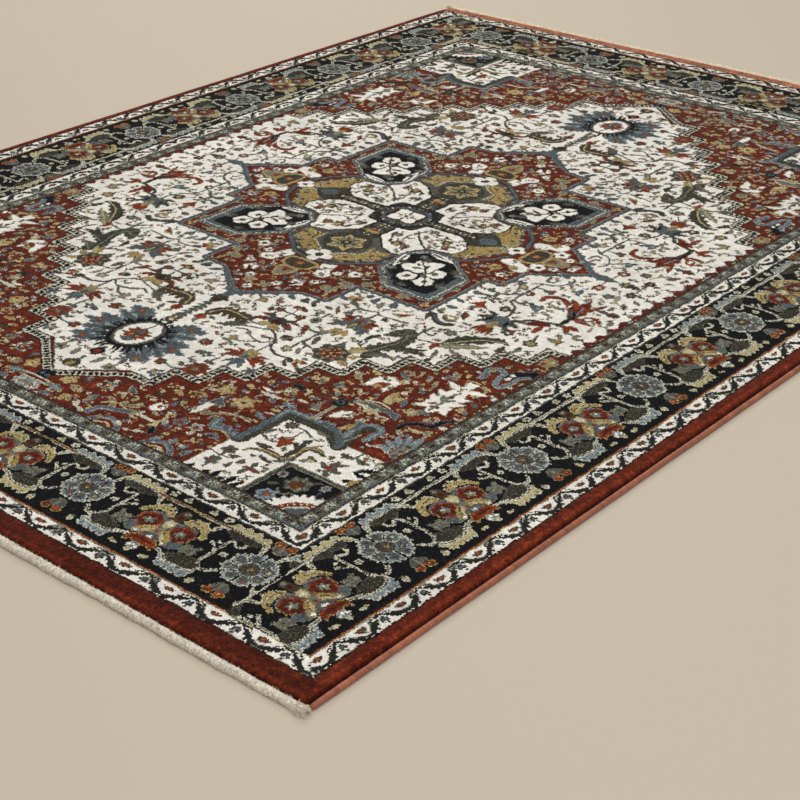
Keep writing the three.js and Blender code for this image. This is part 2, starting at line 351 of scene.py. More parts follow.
def draw_leaves(pen, inner_edge, outer_edge):
    """The leaves and vines between a rosette, at the origin, and the cluster after it."""
    for k, x in enumerate((28, 44, 60, 76)):
        pen.leaf(inner_edge, complex(x - 2, 21), complex(x, 5 + 2 * (k in (0, 3))), 15)
        pen.leaf("sage" if inner_edge == "straw" else "slate", complex(x, 18), complex(x, 10), 4)
    pen.line(inner_edge, 8, (16 + 30j, 22 + 20j, 40 + 16j, 66 + 16j, 82 + 20j, 92 + 34j))
    pen.blob("umber", (24 + 28j, 40 + 22j, 64 + 22j, 80 + 28j, 70 + 34j, 60 + 40j, 48 + 34j, 34 + 38j))
    pen.blob("umber", (44 + 25j, 62 + 24j, 74 + 28j, 62 + 33j, 44 + 30j))
    edged_line(pen, "olive", "cream", 1.5, 5, (13 + 40j, 17 + 30j, 26 + 21j, 40 + 20j, 64 + 20j, 78 + 22j,
                                               88 + 30j, 94 + 40j))
    edged_line(pen, "olive", "cream", 1.5, 5, (82 + 23j, SIDE_REPEAT / 2 + 22j), False)
    pen.blob("umber", (48 + 112j, 60 + 100j, 76 + 102j, 94 + 108j, 100 + 116j, 88 + 124j, 62 + 126j))
    pen.blob("umber", (58 + 112j, 72 + 106j, 90 + 114j, 82 + 121j, 64 + 122j))
    for x in (56, 68, 80, 92):
        pen.leaf(outer_edge, complex(x - 1, 126), complex(x, 142), 14)
        pen.leaf("slate" if outer_edge == "sky" else "sage", complex(x, 130), complex(x, 137), 4)
    pen.line(outer_edge, 6, (48 + 122j, 58 + 130j, 92 + 130j, 102 + 120j))
    edged_line(pen, "olive", "cream", 1.5, 5, (30 + 100j, 40 + 111j, 48 + 112j, 56 + 124j, 72 + 127j,
                                               90 + 126j, 100 + 118j, 118 + 113j))
    edged_line(pen, "olive", "cream", 1.5, 4.6, (48 + 112j, 58 + 100j, 60 + 80j, 60 + 46j), True)
    edged_line(pen, "olive", "cream", 1.5, 4.6, (60 + 72j, 76 + 58j), False)
    pen.line("cream", 4, (60 + 44j, 54 + 42j, 46 + 48j, 38 + 44j, 38 + 38j))
    for base, tip, wide in ((72 + 78j, 92 + 104j, 14), (80 + 86j, 100 + 98j, 13), (82 + 86j, 96 + 84j, 11),
                            (76 + 86j, 76 + 102j, 11)):
        pen.leaf("smoke", base, tip, wide, 0, 2)
        pen.leaf("sage", base, tip, wide / 3)
    pen.leaf("olive", 100 + 48j, 112 + 40j, 8)
    pen.petals("cream", 5, 6, 5, 46, 70)
    pen.disc("sage", 46, 70, 2)
    pen.disc("cream", 68, 52, 3)
    pen.disc("straw", 38, 136, 5, 6)
    pen.disc("sage", 38, 131, 3)


def draw_border(vine):
    """One repeat of the main border, from the middle of a cluster to the middle of the next."""
    sheet = new_sheet(SIDE_REPEAT, BORDER_WIDTH, "navy")
    pen = Pen(sheet, TUFT)
    middle = SIDE_REPEAT / 2
    before, after = pen.at(middle, 0, 180, 1, True), pen.at(middle, 0)
    draw_leaves(before, "straw", "sky")
    draw_leaves(after, "sky", "straw")
    draw_rosette(before)
    draw_rosette(after)
    draw_cluster(pen, vine)
    draw_cluster(pen.at(SIDE_REPEAT, 0, 180, 1, True), vine)
    outline(sheet, "navy", (("slate", "sky"), ("sky", "cream"), ("gold", "straw"), ("straw", "cream"),
                            ("brick", "gold"), ("smoke", "sage"), ("umber", "smoke"), ("sage", "smoke")))
    sheet[: math.ceil(3 / TUFT)] = NUMBERS["olive"]
    sheet[-math.ceil(3 / TUFT) :] = NUMBERS["clay"]
    sheet[-math.ceil(4.5 / TUFT) : -math.ceil(3 / TUFT)] = NUMBERS["wine"]
    return sheet


def draw_guard():
    """Half a repeat of an ivory guard stripe, from the middle of a rust floret to the slate one."""
    sheet = new_sheet(GUARD_REPEAT / 2, GUARD_WIDTH, "ivory")
    pen = Pen(sheet, TUFT)
    pen.fill("ink", (0 + 21j, 4 + 20j, 9 + 17j, 15 + 13j, 18 + 7j, 24 + 3j, 36 + 2j, 36 + 6j, 31 + 8j,
                     30 + 12j, 26 + 13j, 25 + 18j, 20 + 19j, 19 + 24j, 13 + 23j, 10 + 27j, 0 + 25j))
    pen.line("ivory", 1.5, (20 + 10j, 25 + 6j, 29 + 6j), False)
    pen.fill("ink", (36 + 8j, 32 + 10j, 29 + 18j, 32 + 20j, 36 + 18j))
    pen.fill("slate", (36 + 11j, 33 + 12j, 31 + 17j, 36 + 17j))
    pen.disc("copper", 36, 22, 2.2)
    pen.blob("umber", (-8 + 8j, 8 + 8j, 5 + 13j, 0 + 15j, -5 + 13j))
    pen.disc("copper", 0, 10, 4.8)
    pen.disc("clay", 0, 10, 2.2)
    sheet[: math.ceil(1.5 / TUFT)] = NUMBERS["straw"]
    return sheet


def draw_minor():
    """One repeat of the slate minor guard stripe: a square floret and a pair of leaves."""
    sheet = new_sheet(MINOR_REPEAT, MINOR_WIDTH, "slate")
    pen = Pen(sheet, TUFT)
    middle = MINOR_REPEAT / 2
    for x in (5, MINOR_REPEAT - 5):
        pen.blob("sage", (x - 5 + 6j, x + 5 + 6j, x + 6 + 18j, x - 6 + 18j))
        pen.leaf("cream", x - 3 + 6j, x + 3 + 18j, 4)
        pen.line("olive", 1.6, (x + 3 + 6j, x - 3 + 18j), False)
    pen.disc("sky", 0, 12, 4)
    pen.disc("wine", 0, 12, 1.6)
    pen.fill("umber", (middle - 6 + 6j, middle + 6 + 6j, middle + 6 + 18j, middle - 6 + 18j))
    pen.petals("sage", 4, 6, 4, middle, 12, 45)
    pen.disc("wine", middle, 12, 3.4)
    for x in (middle - 8, middle + 8):
        pen.line("sage", 1.6, (x + 5j, x + 19j), False)
    sheet[: math.ceil(1.5 / TUFT)] = NUMBERS["wine"]
    sheet[math.ceil(1.5 / TUFT) : math.ceil(4.5 / TUFT)] = NUMBERS["umber"]
    sheet[-math.ceil(3 / TUFT) :] = NUMBERS["navy"]
    return sheet


def folded(along, repeat):
    """Where a place is in a repeat that mirrors itself at both ends."""
    turn = along % (2 * repeat)
    return np.minimum(turn, 2 * repeat - turn)


def look_up(sheet, along, across):
    """The yarns of a sheet at places in millimetres, held to its edges."""
    row = np.clip((across / TUFT).astype(int), 0, sheet.shape[0] - 1)
    column = np.clip((along / TUFT).astype(int), 0, sheet.shape[1] - 1)
    return sheet[row, column]


# The figures of the field, each in the quarter where both distances from the centre are positive
FIELD = 536 + 867j
SAW_REPEAT = 31.7
STEP_COUNT = 9
SHOULDER = 270
TIP_ROOT = 80 + 731j
TIP = 803j
STAR = (382, 322 + 52j, 300 + 66j, 300 + 128j, 268 + 128j, 268 + 282j, 130 + 282j, 130 + 358j, 84 + 360j,
        424j)


def ground_steps():
    """The stepped side of the ivory medallion ground, from the side of the field to its point."""
    wide = (FIELD.real - TIP_ROOT.real) / (STEP_COUNT + 1)
    tall = (TIP_ROOT.imag - SHOULDER) / STEP_COUNT
    steps = [complex(FIELD.real, SHOULDER)]
    for k in range(STEP_COUNT):
        x = FIELD.real - (k + 1) * wide
        steps += [complex(x, SHOULDER + k * tall), complex(x, SHOULDER + (k + 1) * tall)]
    return steps + [TIP_ROOT]


def draw_ground(pen):
    """The ivory medallion ground with its outline of navy squares on a light line."""
    steps = ground_steps()
    pen.fill("ivory", [0, FIELD.real, *steps, TIP])
    trim = [z + 9 + 9j for z in steps[1:]]
    trim = [trim[0] + 30, *trim[:-1], TIP_ROOT + 12 + 9j, TIP + 8j + 4, TIP + 8j - 12]
    pen.line("wine", 19, trim, False)
    pen.line("ink", 15, trim, False)
    pen.line("cream", 12.5, trim, False)
    for a, b in zip(trim[:-1], trim[1:]):
        count = max(round(abs(b - a) / 8.8), 1)
        along = (b - a) / abs(b - a)
        for k in range(count):
            z = a + (b - a) * (k + 0.5) / count
            pen.line("navy", 6.6, (z - 1.6j * along, z + 1.6j * along), False)
    pen.fill("navy", (TIP + 6j - 14, TIP + 6j + 13, TIP + 27j + 13, TIP + 27j - 14))
    pen.disc("slate", 6, (TIP + 16j).imag, 4)
    for k in range(round(SHOULDER / SAW_REPEAT) + 1):
        tooth = pen.at(FIELD.real, k * SAW_REPEAT)
        tooth.fill("rust", (12 - 17j, -4 - 15j, -13 - 3j, -12 + 4j, -5 + 9j, -7 + 15j, 12 + 17j))
        tooth.line("wine", 2.5, (-2 - 14j, -13 - 2j, -11 + 4j, -4 + 9j, -6 + 15j), False)


def draw_star(pen):
    """The rust star with its border and what grows in it."""
    border = (STAR[0] + 4, *STAR[1:-1], STAR[-1] + 5j)
    pen.line("olive", 18, border, False)
    pen.line("slate", 14, border, False)
    for a, b in zip(border[:-1], border[1:]):
        for k in range(max(round(abs(b - a) / 12), 1)):
            z = a + (b - a) * (k + 0.5) / max(round(abs(b - a) / 12), 1)
            pen.leaf("slate", z, z + 13 * cmath.exp(1j * (cmath.phase(z) + 0.6 * (-1) ** k)), 8)
    for x, y, angle in ((302, 150, 60), (290, 180, -20), (288, 215, 40), (292, 250, -20), (180, 296, 100),
                        (225, 298, 60), (145, 330, 30), (112, 372, 80), (318, 100, 0), (360, 30, 40)):
        pen.leaf("slate", complex(x - 8, y), complex(x, y) + 14 * bearing(angle), 12)
    pen.fill("rust", (0, *STAR))
    # The hooks and palmettes of the star's four points
    for x, y, angle in ((0, 262, 90), (262, 0, 0)):
        point = pen.at(x, y, angle)
        for side in (1, -1):
            point.blob("ivory", (-8 + 30j * side, -22 + 44j * side, -14 + 56j * side, 6 + 60j * side,
                                 22 + 74j * side, 38 + 66j * side, 34 + 46j * side, 18 + 40j * side))
            point.blob("olive", (6 + 52j * side, 16 + 58j * side, 26 + 64j * side, 14 + 56j * side))
        point.blob("gold", (0 - 30j, 26 - 30j, 34 - 18j, 46 - 20j, 66 - 12j, 78, 66 + 12j, 46 + 20j,
                            34 + 18j, 26 + 30j, 30j, -6))
        point.blob("olive", (3 - 25j, 23 - 25j, 31 - 10j, 31 + 10j, 23 + 25j, 3 + 25j, 0))
        point.blob("sage", (40 - 13j, 62 - 9j, 72, 62 + 9j, 40 + 13j, 38))
        point.blob("brick", (12 - 10j, 24, 12 + 10j, 6))
        point.blob("brick", (44 - 7j, 56, 44 + 7j, 40))
        point.disc("gold", 14, 0, 4)
    for x, y, size in ((50, 340, 14), (28, 362, 10), (100, 252, 13), (76, 268, 9), (0, 400, 10),
                       (304, 34, 15), (328, 24, 9), (352, 6, 8), (276, 98, 10), (70, 318, 9)):
        pen.floret(x, y, size, "ivory", "olive", 5, 3 * x)
    for x, y in ((98, 322), (118, 300), (330, 2), (140, 270), (210, 268), (255, 190), (255, 235), (18, 378)):
        pen.floret(x, y, 10, "sage", "gold", 5, 3 * x)
    pen.floret(256, 269, 9, "gold", "brick", 4)
    pen.floret(250, 78, 12, "gold", "slate", 5)
    pen.floret(276, 62, 9, "gold", "sage", 4)
    pen.leaf("sage", 112 + 300j, 116 + 346j, 12, 0.1, 3)
    pen.leaf("wine", 20 + 350j, 60 + 330j, 8, 0.2)


def draw_heart(pen):
    """The middle of the star: gold diamond, cross, petals and leaf squares."""
    round_heart = (4 + 250j, 40 + 244j, 98 + 192j, 110 + 150j, 150 + 104j, 192 + 96j, 226 + 60j, 244 + 20j,
                   238)
    pen.line("olive", 10, round_heart, False)
    pen.line("slate", 6, round_heart, False)
    pen.fill("smoke", (0, 232, 232 + 24j, 206 + 62j, 180 + 96j, 110 + 100j, 100 + 150j, 92 + 192j,
                       36 + 236j, 240j))
    for x, y in ((222, 30), (214, 46), (200, 66), (192, 82), (100, 178), (84, 194), (66, 210), (46, 226),
                 (20, 232)):
        pen.disc("sky", x, y, 3.4)
        pen.disc("navy", x + 4, y - 7, 2.4)
    pen.fill("gold", (160 + 30j, 186 + 12j, 226, 226 + 20j, 204 + 56j, 186 + 80j, 170 + 88j, 160 + 80j,
                      174 + 60j))
    pen.fill("gold", (52 + 148j, 66 + 156j, 88 + 148j, 88 + 190j, 36 + 226j, 8 + 214j, 28 + 196j, 52 + 182j))
    for x, y in ((190, 60), (206, 30), (178, 78), (70, 176), (40, 208), (66, 200), (84, 168)):
        pen.disc("bark", x, y, 4)
        pen.disc("sage", x + 7, y - 8, 4)
    for x, y, turn in ((176, 24, 0), (214, 16, 30), (192, 72, 15), (62, 160, 0), (78, 186, 20),
                       (24, 212, 40)):
        pen.petals("straw", 5, 8, 5, x, y, turn)
        pen.petals("bark", 5, 9, 2, x, y, turn + 36)
        pen.disc("bark", x, y, 2)
    pen.line("bark", 1.8, (164 + 34j, 180 + 44j, 176 + 66j, 164 + 80j))
    pen.line("bark", 1.8, (56 + 152j, 60 + 172j, 44 + 192j, 16 + 208j))
    pen.line("cream", 1.8, (160 + 30j, 186 + 12j, 226), False)
    pen.line("cream", 1.8, (52 + 148j, 52 + 182j, 28 + 196j, 8 + 214j), False)
    # Palmettes on the two axes
    pen.blob("olive", (132 + 20j, 150 + 30j, 172 + 32j, 196 + 12j, 204, 196 - 12j, 172 - 32j, 132 - 20j))
    pen.blob("slate", (160, 176 + 16j, 194 + 4j, 194 - 4j, 176 - 16j))
    pen.disc("wine", 150, 0, 7)
    pen.blob("olive", (-42 + 150j, -30 + 126j, 0 + 112j, 30 + 126j, 44 + 150j, 38 + 176j, 12 + 200j,
                       0 + 206j, -38 + 176j))
    pen.petals("straw", 6, 36, 19, 0, 158, 0)
    pen.petals("gold", 6, 32, 14, 0, 158, 0)
    pen.petals("olive", 6, 26, 5, 0, 158, 0)
    pen.petals("sage", 6, 30, 8, 0, 158, 30)
    pen.disc("ink", 0, 158, 7)
    pen.disc("gold", 0, 158, 3.5)
    pen.floret(0, 228, 26, "ivory", "olive", 4)
    pen.floret(236, 0, 18, "ivory", "olive", 4)
    # Cross arms
    pen.fill("olive", (0, 152, 152 + 14j, 60 + 20j, 50 + 50j, 26 + 62j, 26 + 118j, 118j))
    for k, x in enumerate(range(52, 150, 9)):
        pen.disc(("smoke", "wine", "slate")[k % 3], x, 7, 4)
        pen.disc(("sage", "cream", "straw")[k % 3], x + 4, 1, 2.6)
        pen.line("ink", 1.6, (x + 5 + 3j, x + 5 + 13j), False)
    for k, y in enumerate(range(40, 112, 9)):
        pen.disc(("smoke", "wine", "slate")[k % 3], 14, y, 4)
        pen.disc(("sage", "cream", "straw")[k % 3], 5, y + 4, 2.6)
        pen.line("ink", 1.6, (6 + 1j * (y + 1), 24 + 1j * (y + 1)), False)
    pen.disc("gold", 6, 92, 7)
    pen.disc("brick", 2, 84, 5)
    # Petals round the centre
    petal = (57 + 16j, 78 + 13j, 130 + 13j, 150 + 26j, 168 + 48j, 170 + 62j, 164 + 82j, 138 + 86j,
             120 + 92j, 106 + 112j, 104 + 140j, 86 + 145j, 60 + 134j, 25 + 98j, 23 + 52j, 48 + 48j,
             54 + 30j)
    pen.line("navy", 7, (*petal, petal[0]), False)
    pen.fill("ivory", petal)
    pen.line("olive", 4, (62 + 42j, 90 + 74j, 118 + 96j))
    pen.line("smoke", 3, (60 + 60j, 64 + 90j, 84 + 118j))
    pen.line("smoke", 3, (80 + 36j, 110 + 44j, 146 + 62j))
    for base, tip, yarn in ((86 + 30j, 108 + 26j, "olive"), (108 + 24j, 132 + 34j, "bark"),
                            (36 + 60j, 44 + 90j, "olive"), (44 + 88j, 62 + 112j, "bark"),
                            (96 + 100j, 92 + 128j, "olive"), (130 + 66j, 156 + 74j, "olive"),
                            (70 + 40j, 66 + 62j, "smoke"), (96 + 62j, 118 + 62j, "gold"),
                            (70 + 86j, 68 + 108j, "gold")):
        pen.leaf(yarn, base, tip, 9, 0.2, 2)
    pen.bud(128, 50, 35, 1.3, "olive", "gold")
    pen.bud(140, 64, 60, 1.0, "sage", "brick")
    pen.bud(64, 104, 60, 1.3, "bark", "gold")
    pen.bud(84, 106, 40, 1.0, "sage", "brick")
    pen.bud(84, 26, 20, 0.9, "smoke", "sage")
    pen.bud(44, 72, 80, 0.9, "smoke", "sage")
    # Centre quatrefoil
    pen.fill("ink", (0, 50, 52 + 22j, 34 + 46j, 46j))
    for k in range(7):
        turn = bearing(8 + 13 * k)
        pen.disc(("sage", "cream", "slate")[k % 3], 45 * turn.real, 40 * turn.imag, 3)
    pen.fill("slate", (0, 39, 40 + 18j, 27 + 34j, 34j))
    pen.fill("wine", (0, 35, 35 + 17j, 23 + 28j, 28j))
    pen.petals("ivory", 4, 34, 30, 0, 0, 40, 0.05)
    pen.petals("smoke", 4, 22, 5, 0, 0, 0, 0.2)
    pen.petals("brick", 4, 16, 3, 0, 0, 40, 0.3)
    pen.disc("olive", 0, 0, 4)
    # Leaf squares
    pen.fill("slate", (100 + 122j, 132 + 94j, 178 + 92j, 256 + 152j, 258 + 258j, 164 + 262j, 106 + 204j))
    pen.fill("cream", (106 + 124j, 134 + 98j, 176 + 96j, 252 + 156j, 252 + 252j, 166 + 256j, 111 + 202j))
    pen.fill("slate", (109 + 126j, 136 + 101j, 175 + 99j, 248 + 158j, 248 + 248j, 167 + 251j, 115 + 200j))
    pen.fill("navy", (112 + 128j, 138 + 104j, 186 + 104j, 232 + 150j, 236 + 238j, 172 + 244j, 116 + 194j))
    square = (107 + 124j, 135 + 99j, 175 + 97j, 251 + 157j, 251 + 251j, 167 + 254j, 112 + 201j, 107 + 124j)
    for a, b in zip(square[:-1], square[1:]):
        count = round(abs(b - a) / 7)
        for k in range(count):
            z = a + (b - a) * (k + 0.5) / count
            pen.disc("navy", z.real, z.imag, 1.8)
    for base, tip in ((110 + 126j, 122 + 186j), (136 + 102j, 192 + 112j)):
        pen.leaf("ivory", base, tip, 15)
        pen.leaf("olive", base, 0.8 * tip + 0.2 * base, 4)
    for x, y, angle in ((140, 216, 60), (214, 140, 20), (228, 196, 80), (176, 232, 10), (150, 128, 40),
                        (126, 158, 70)):
        pen.bud(x, y, angle, 1.1, "umber", "smoke", "umber")
    for x, y, reach in ((196, 167, 18), (165, 201, 16), (200, 202, 17)):
        for turn in (0, 72, 144, 216, 288):
            pen.disc("ivory", x + 0.42 * reach * math.cos(math.radians(turn + 18)),
                     y + 0.42 * reach * math.sin(math.radians(turn + 18)), 0.62 * reach)
        pen.disc("olive", x, y, 5.5)
        pen.disc("sage", x + 1.5, y + 1.5, 3)
    pen.blob("ivory", (134 + 176j, 132 + 162j, 144 + 154j, 142 + 140j, 156 + 138j, 166 + 130j, 184 + 126j,
                       186 + 146j, 180 + 166j, 170 + 182j, 150 + 184j))
    for base, tip in ((148 + 168j, 170 + 162j), (166 + 146j, 172 + 160j), (146 + 150j, 160 + 156j)):
        pen.leaf("olive", base, tip, 8, 0, 2)
    pen.line("navy", 3, (130 + 128j, 160 + 150j, 188 + 182j, 216 + 222j))
    pen.line("navy", 3, (190 + 128j, 186 + 160j, 183 + 224j))
    pen.line("navy", 3, (134 + 186j, 160 + 183j, 222 + 184j))
    pen.disc("olive", 184, 184, 6)
    pen.disc("sage", 184, 184, 3.5)
    for x, y, angle in ((140, 124, 225), (226, 148, 0), (126, 190, 180), (150, 236, 100), (236, 200, 0),
                        (200, 246, 90)):
        pen.bud(x, y, angle, 0.9, "slate", "sage")


def draw_side_flowers(pen):
    """The flowers on ivory between the star's side point and the side of the field."""
    pen = pen.at(-7.5, -11.6)
    # Stems
    pen.line("smoke", 3, (398 + 16j, 420 + 12j, 470 + 12j, 488 + 12j))
    pen.line("smoke", 2.6, (427 + 12j, 430 + 40j), False)
    pen.line("slate", 4, (384 + 46j, 390 + 58j, 384 + 78j, 372 + 90j, 356 + 94j, 342 + 106j))
    pen.line("smoke", 4, (356 + 94j, 357 + 172j, 362 + 186j, 376 + 196j, 384 + 218j))
    pen.line("smoke", 3, (357 + 172j, 370 + 178j, 396 + 176j))
    pen.line("smoke", 3, (357 + 112j, 372 + 112j, 384 + 110j))
    pen.line("smoke", 3, (357 + 148j, 340 + 158j, 326 + 170j))
    pen.line("slate", 4, (352 + 64j, 356 + 80j, 368 + 80j))
    pen.line("sage", 4, (384 + 60j, 400 + 74j), False)
    # Small flowers along the middle
    pen.leaf("slate", 398 + 12j, 440 + 12j, 26, 0, 2, 0.3)
    pen.disc("smoke", 424, 12, 6)
    pen.leaf("sage", 448 + 12j, 476 + 12j, 26, 0, 2, 0.3)
    pen.leaf("olive", 452 + 12j, 488 + 12j, 14, 0, 2, 0.4)
    pen.disc("gold", 460, 12, 3)
    pen.petals("brick", 6, 12, 9, 432, 47)
    pen.disc("sage", 432, 47, 5)
    pen.disc("cream", 432, 47, 3)
    pen.petals("bark", 6, 12, 9, 487, 41, 20)
    pen.disc("wine", 487, 41, 7)
    pen.disc("sage", 487, 41, 4)
    pen.petals("smoke", 5, 11, 9, 463, 66, 10)
    pen.disc("sage", 463, 66, 4)
    pen.leaf("smoke", 496 + 22j, 518 + 36j, 8, 0.35)
    pen.leaf("sage", 502 + 54j, 520 + 64j, 7, 0.1)
    pen.line("straw", 5, (476 + 58j, 482 + 76j, 480 + 84j))
    pen.line("straw", 4, (482 + 76j, 496 + 84j), False)
    pen.leaf("smoke", 496 + 74j, 512 + 96j, 14, 0, 2)
    pen.disc("brick", 504, 88, 3.5)
    pen.leaf("slate", 402 + 78j, 432 + 100j, 12, 0, 2, 0.5)
    pen.leaf("slate", 416 + 72j, 424 + 94j, 10)
    pen.leaf("sky", 406 + 80j, 424 + 90j, 5)
    pen.disc("straw", 405, 79, 5)
    pen.leaf("sage", 330 + 118j, 350 + 130j, 16)
    pen.disc("straw", 340, 124, 5)
    pen.leaf("smoke", 372 + 112j, 392 + 116j, 14, 0, 2)
    pen.disc("brick", 387, 108, 5)
    pen.disc("wine", 389, 118, 3)
    pen.petals("bark", 5, 11, 9, 362, 139)
    pen.disc("brick", 366, 137, 4)
    pen.disc("sky", 356, 142, 3)
    # The big rust flower with a dark stem
    pen.leaf("brick", 396 + 128j, 392 + 152j, 9, 0.2)
    pen.line("brick", 10, (392 + 146j, 392 + 132j, 402 + 124j, 420 + 124j, 438 + 138j, 456 + 160j))
    pen.leaf("brick", 462 + 164j, 424 + 110j, 20, 0.06, 3, 0.3)
    pen.leaf("rust", 466 + 180j, 452 + 98j, 26, 0.02, 3, 0.4)
    pen.leaf("brick", 462 + 150j, 484 + 96j, 12, 0, 2, 0.3)
    pen.line("brick", 8, (470 + 172j, 480 + 166j, 488 + 152j, 500 + 154j, 508 + 160j))
    pen.leaf("brick", 484 + 170j, 500 + 144j, 13)
    pen.leaf("brick", 474 + 176j, 506 + 174j, 10)
    pen.line("navy", 3, (462 + 176j, 444 + 138j), False)
    pen.line("slate", 3, (468 + 176j, 458 + 128j), False)
    pen.line("ivory", 2.5, (440 + 146j, 436 + 128j), False)
    pen.disc("ivory", 488, 160, 4.5, 6)
    pen.disc("straw", 468, 118, 4, 5)
    pen.line("navy", 7, (456 + 152j, 466 + 168j, 464 + 206j))
    pen.line("olive", 4, (462 + 170j, 462 + 204j), False)
    pen.line("olive", 7, (462 + 204j, 444 + 210j, 424 + 216j, 416 + 226j))
    pen.leaf("rust", 458 + 214j, 420 + 236j, 22, 0.1, 3, 0.3)
    pen.leaf("brick", 468 + 206j, 504 + 204j, 18, -0.1, 3, 0.3)
    pen.leaf("brick", 448 + 222j, 450 + 258j, 14, 0, 2)
    pen.leaf("brick", 476 + 200j, 492 + 226j, 12)
    pen.line("straw", 4, (500 + 162j, 508 + 176j, 512 + 196j))
    pen.leaf("slate", 484 + 124j, 498 + 118j, 12)
    pen.line("slate", 3, (470 + 124j, 486 + 122j), False)
    pen.leaf("bark", 496 + 122j, 520 + 122j, 20, 0, 2)
    pen.disc("brick", 505, 116, 4)
    pen.leaf("slate", 388 + 168j, 410 + 184j, 14, 0, 2)
    pen.leaf("slate", 404 + 162j, 410 + 192j, 13, 0, 2)
    pen.disc("sky", 405, 176, 4)
    pen.disc("bark", 388, 168, 5)
    pen.leaf("sage", 416 + 180j, 434 + 188j, 10)
    pen.disc("straw", 423, 182, 4)
    # Flowers beside the star
    pen.line("smoke", 5, (308 + 158j, 316 + 168j, 326 + 170j, 340 + 162j, 344 + 152j))
    pen.leaf("smoke", 326 + 170j, 326 + 188j, 8)
    for side in (-1, 1):
        pen.leaf("smoke", complex(326, 190), complex(326 + 18 * side, 184), 10, 0, 2)
        pen.leaf("smoke", complex(326, 194), complex(326 + 16 * side, 204), 10, 0, 2)
        pen.leaf("brick", complex(327, 208), complex(327 + 20 * side, 230), 10, 0.2 * side)
    pen.leaf("brick", 327 + 206j, 327 + 232j, 10)
    pen.leaf("sage", 360 + 200j, 372 + 214j, 16)
    pen.petals("olive", 6, 11, 8, 368, 211)
    pen.disc("gold", 368, 211, 4)
    pen.line("olive", 3, (376 + 206j, 390 + 212j, 394 + 204j))
    # The big slate palmette
    big = pen.at(386, 244, 90)
    for side in (1, -1):
        big.leaf("olive", 2 + 8j * side, -12 + 38j * side, 13, 0.15 * side, 3, 0.4)
        big.leaf("olive", 4 + 10j * side, 12 + 40j * side, 17, 0.05 * side, 4, 0.45)
        big.leaf("smoke", 14 + 8j * side, 34 + 30j * side, 14, 0.1 * side, 3, 0.4)
        big.leaf("slate", -6 + 2j * side, 20 + 22j * side, 14, 0.1 * side, 2, 0.4)
    big.blob("slate", (-10, -4 + 14j, 12 + 17j, 26 + 8j, 26 - 8j, 12 - 17j, -4 - 14j))
    big.leaf("navy", 0 - 14j, 22 - 20j, 6)
    big.leaf("navy", 0 + 14j, 22 + 20j, 6)
    for spread in (-0.9, -0.35, 0.35, 0.9):
        big.leaf("brick", 32 + 8j * spread, 62 + 17j * spread, 9)
    big.leaf("brick", 34, 66, 8)
    big.leaf("gold", 10, 42, 16, 0, 2, 0.2)
    big.leaf("sage", 14, 34, 6)
    big.disc("sage", -6, 0, 4)
    big.line("smoke", 4, (-26, -8), False)
    # Below the palmette
    pen.leaf("bark", 330 + 252j, 350 + 288j, 8, 0.15, 2)
    pen.leaf("brick", 332 + 260j, 346 + 282j, 5)
    pen.line("gold", 6, (312 + 290j, 322 + 300j, 334 + 296j, 330 + 284j, 320 + 288j))
    pen.line("bark", 4, (314 + 296j, 326 + 304j, 338 + 298j))
    pen.line("olive", 11, (296 + 298j, 310 + 312j, 328 + 318j, 342 + 310j))
    pen.line("slate", 4, (300 + 300j, 316 + 314j, 330 + 314j))
    pen.leaf("olive", 286 + 292j, 298 + 322j, 10)
    pen.petals("olive", 5, 12, 9, 422, 276)
    pen.disc("brick", 424, 270, 4)
    pen.leaf("ivory", 430 + 282j, 458 + 276j, 8)
    pen.petals("olive", 6, 13, 9, 470, 286)
    pen.disc("gold", 470, 286, 7)
    pen.disc("sage", 470, 286, 3)
    pen.line("olive", 3, (462 + 256j, 470 + 278j), False)
    pen.leaf("sage", 478 + 252j, 500 + 262j, 14, 0, 3)
    pen.leaf("gold", 492 + 240j, 504 + 268j, 12, 0, 2)
    pen.leaf("sage", 504 + 226j, 512 + 212j, 8)
    pen.leaf("brick", 498 + 264j, 506 + 244j, 4)
    pen.leaf("sage", 486 + 222j, 504 + 220j, 7)


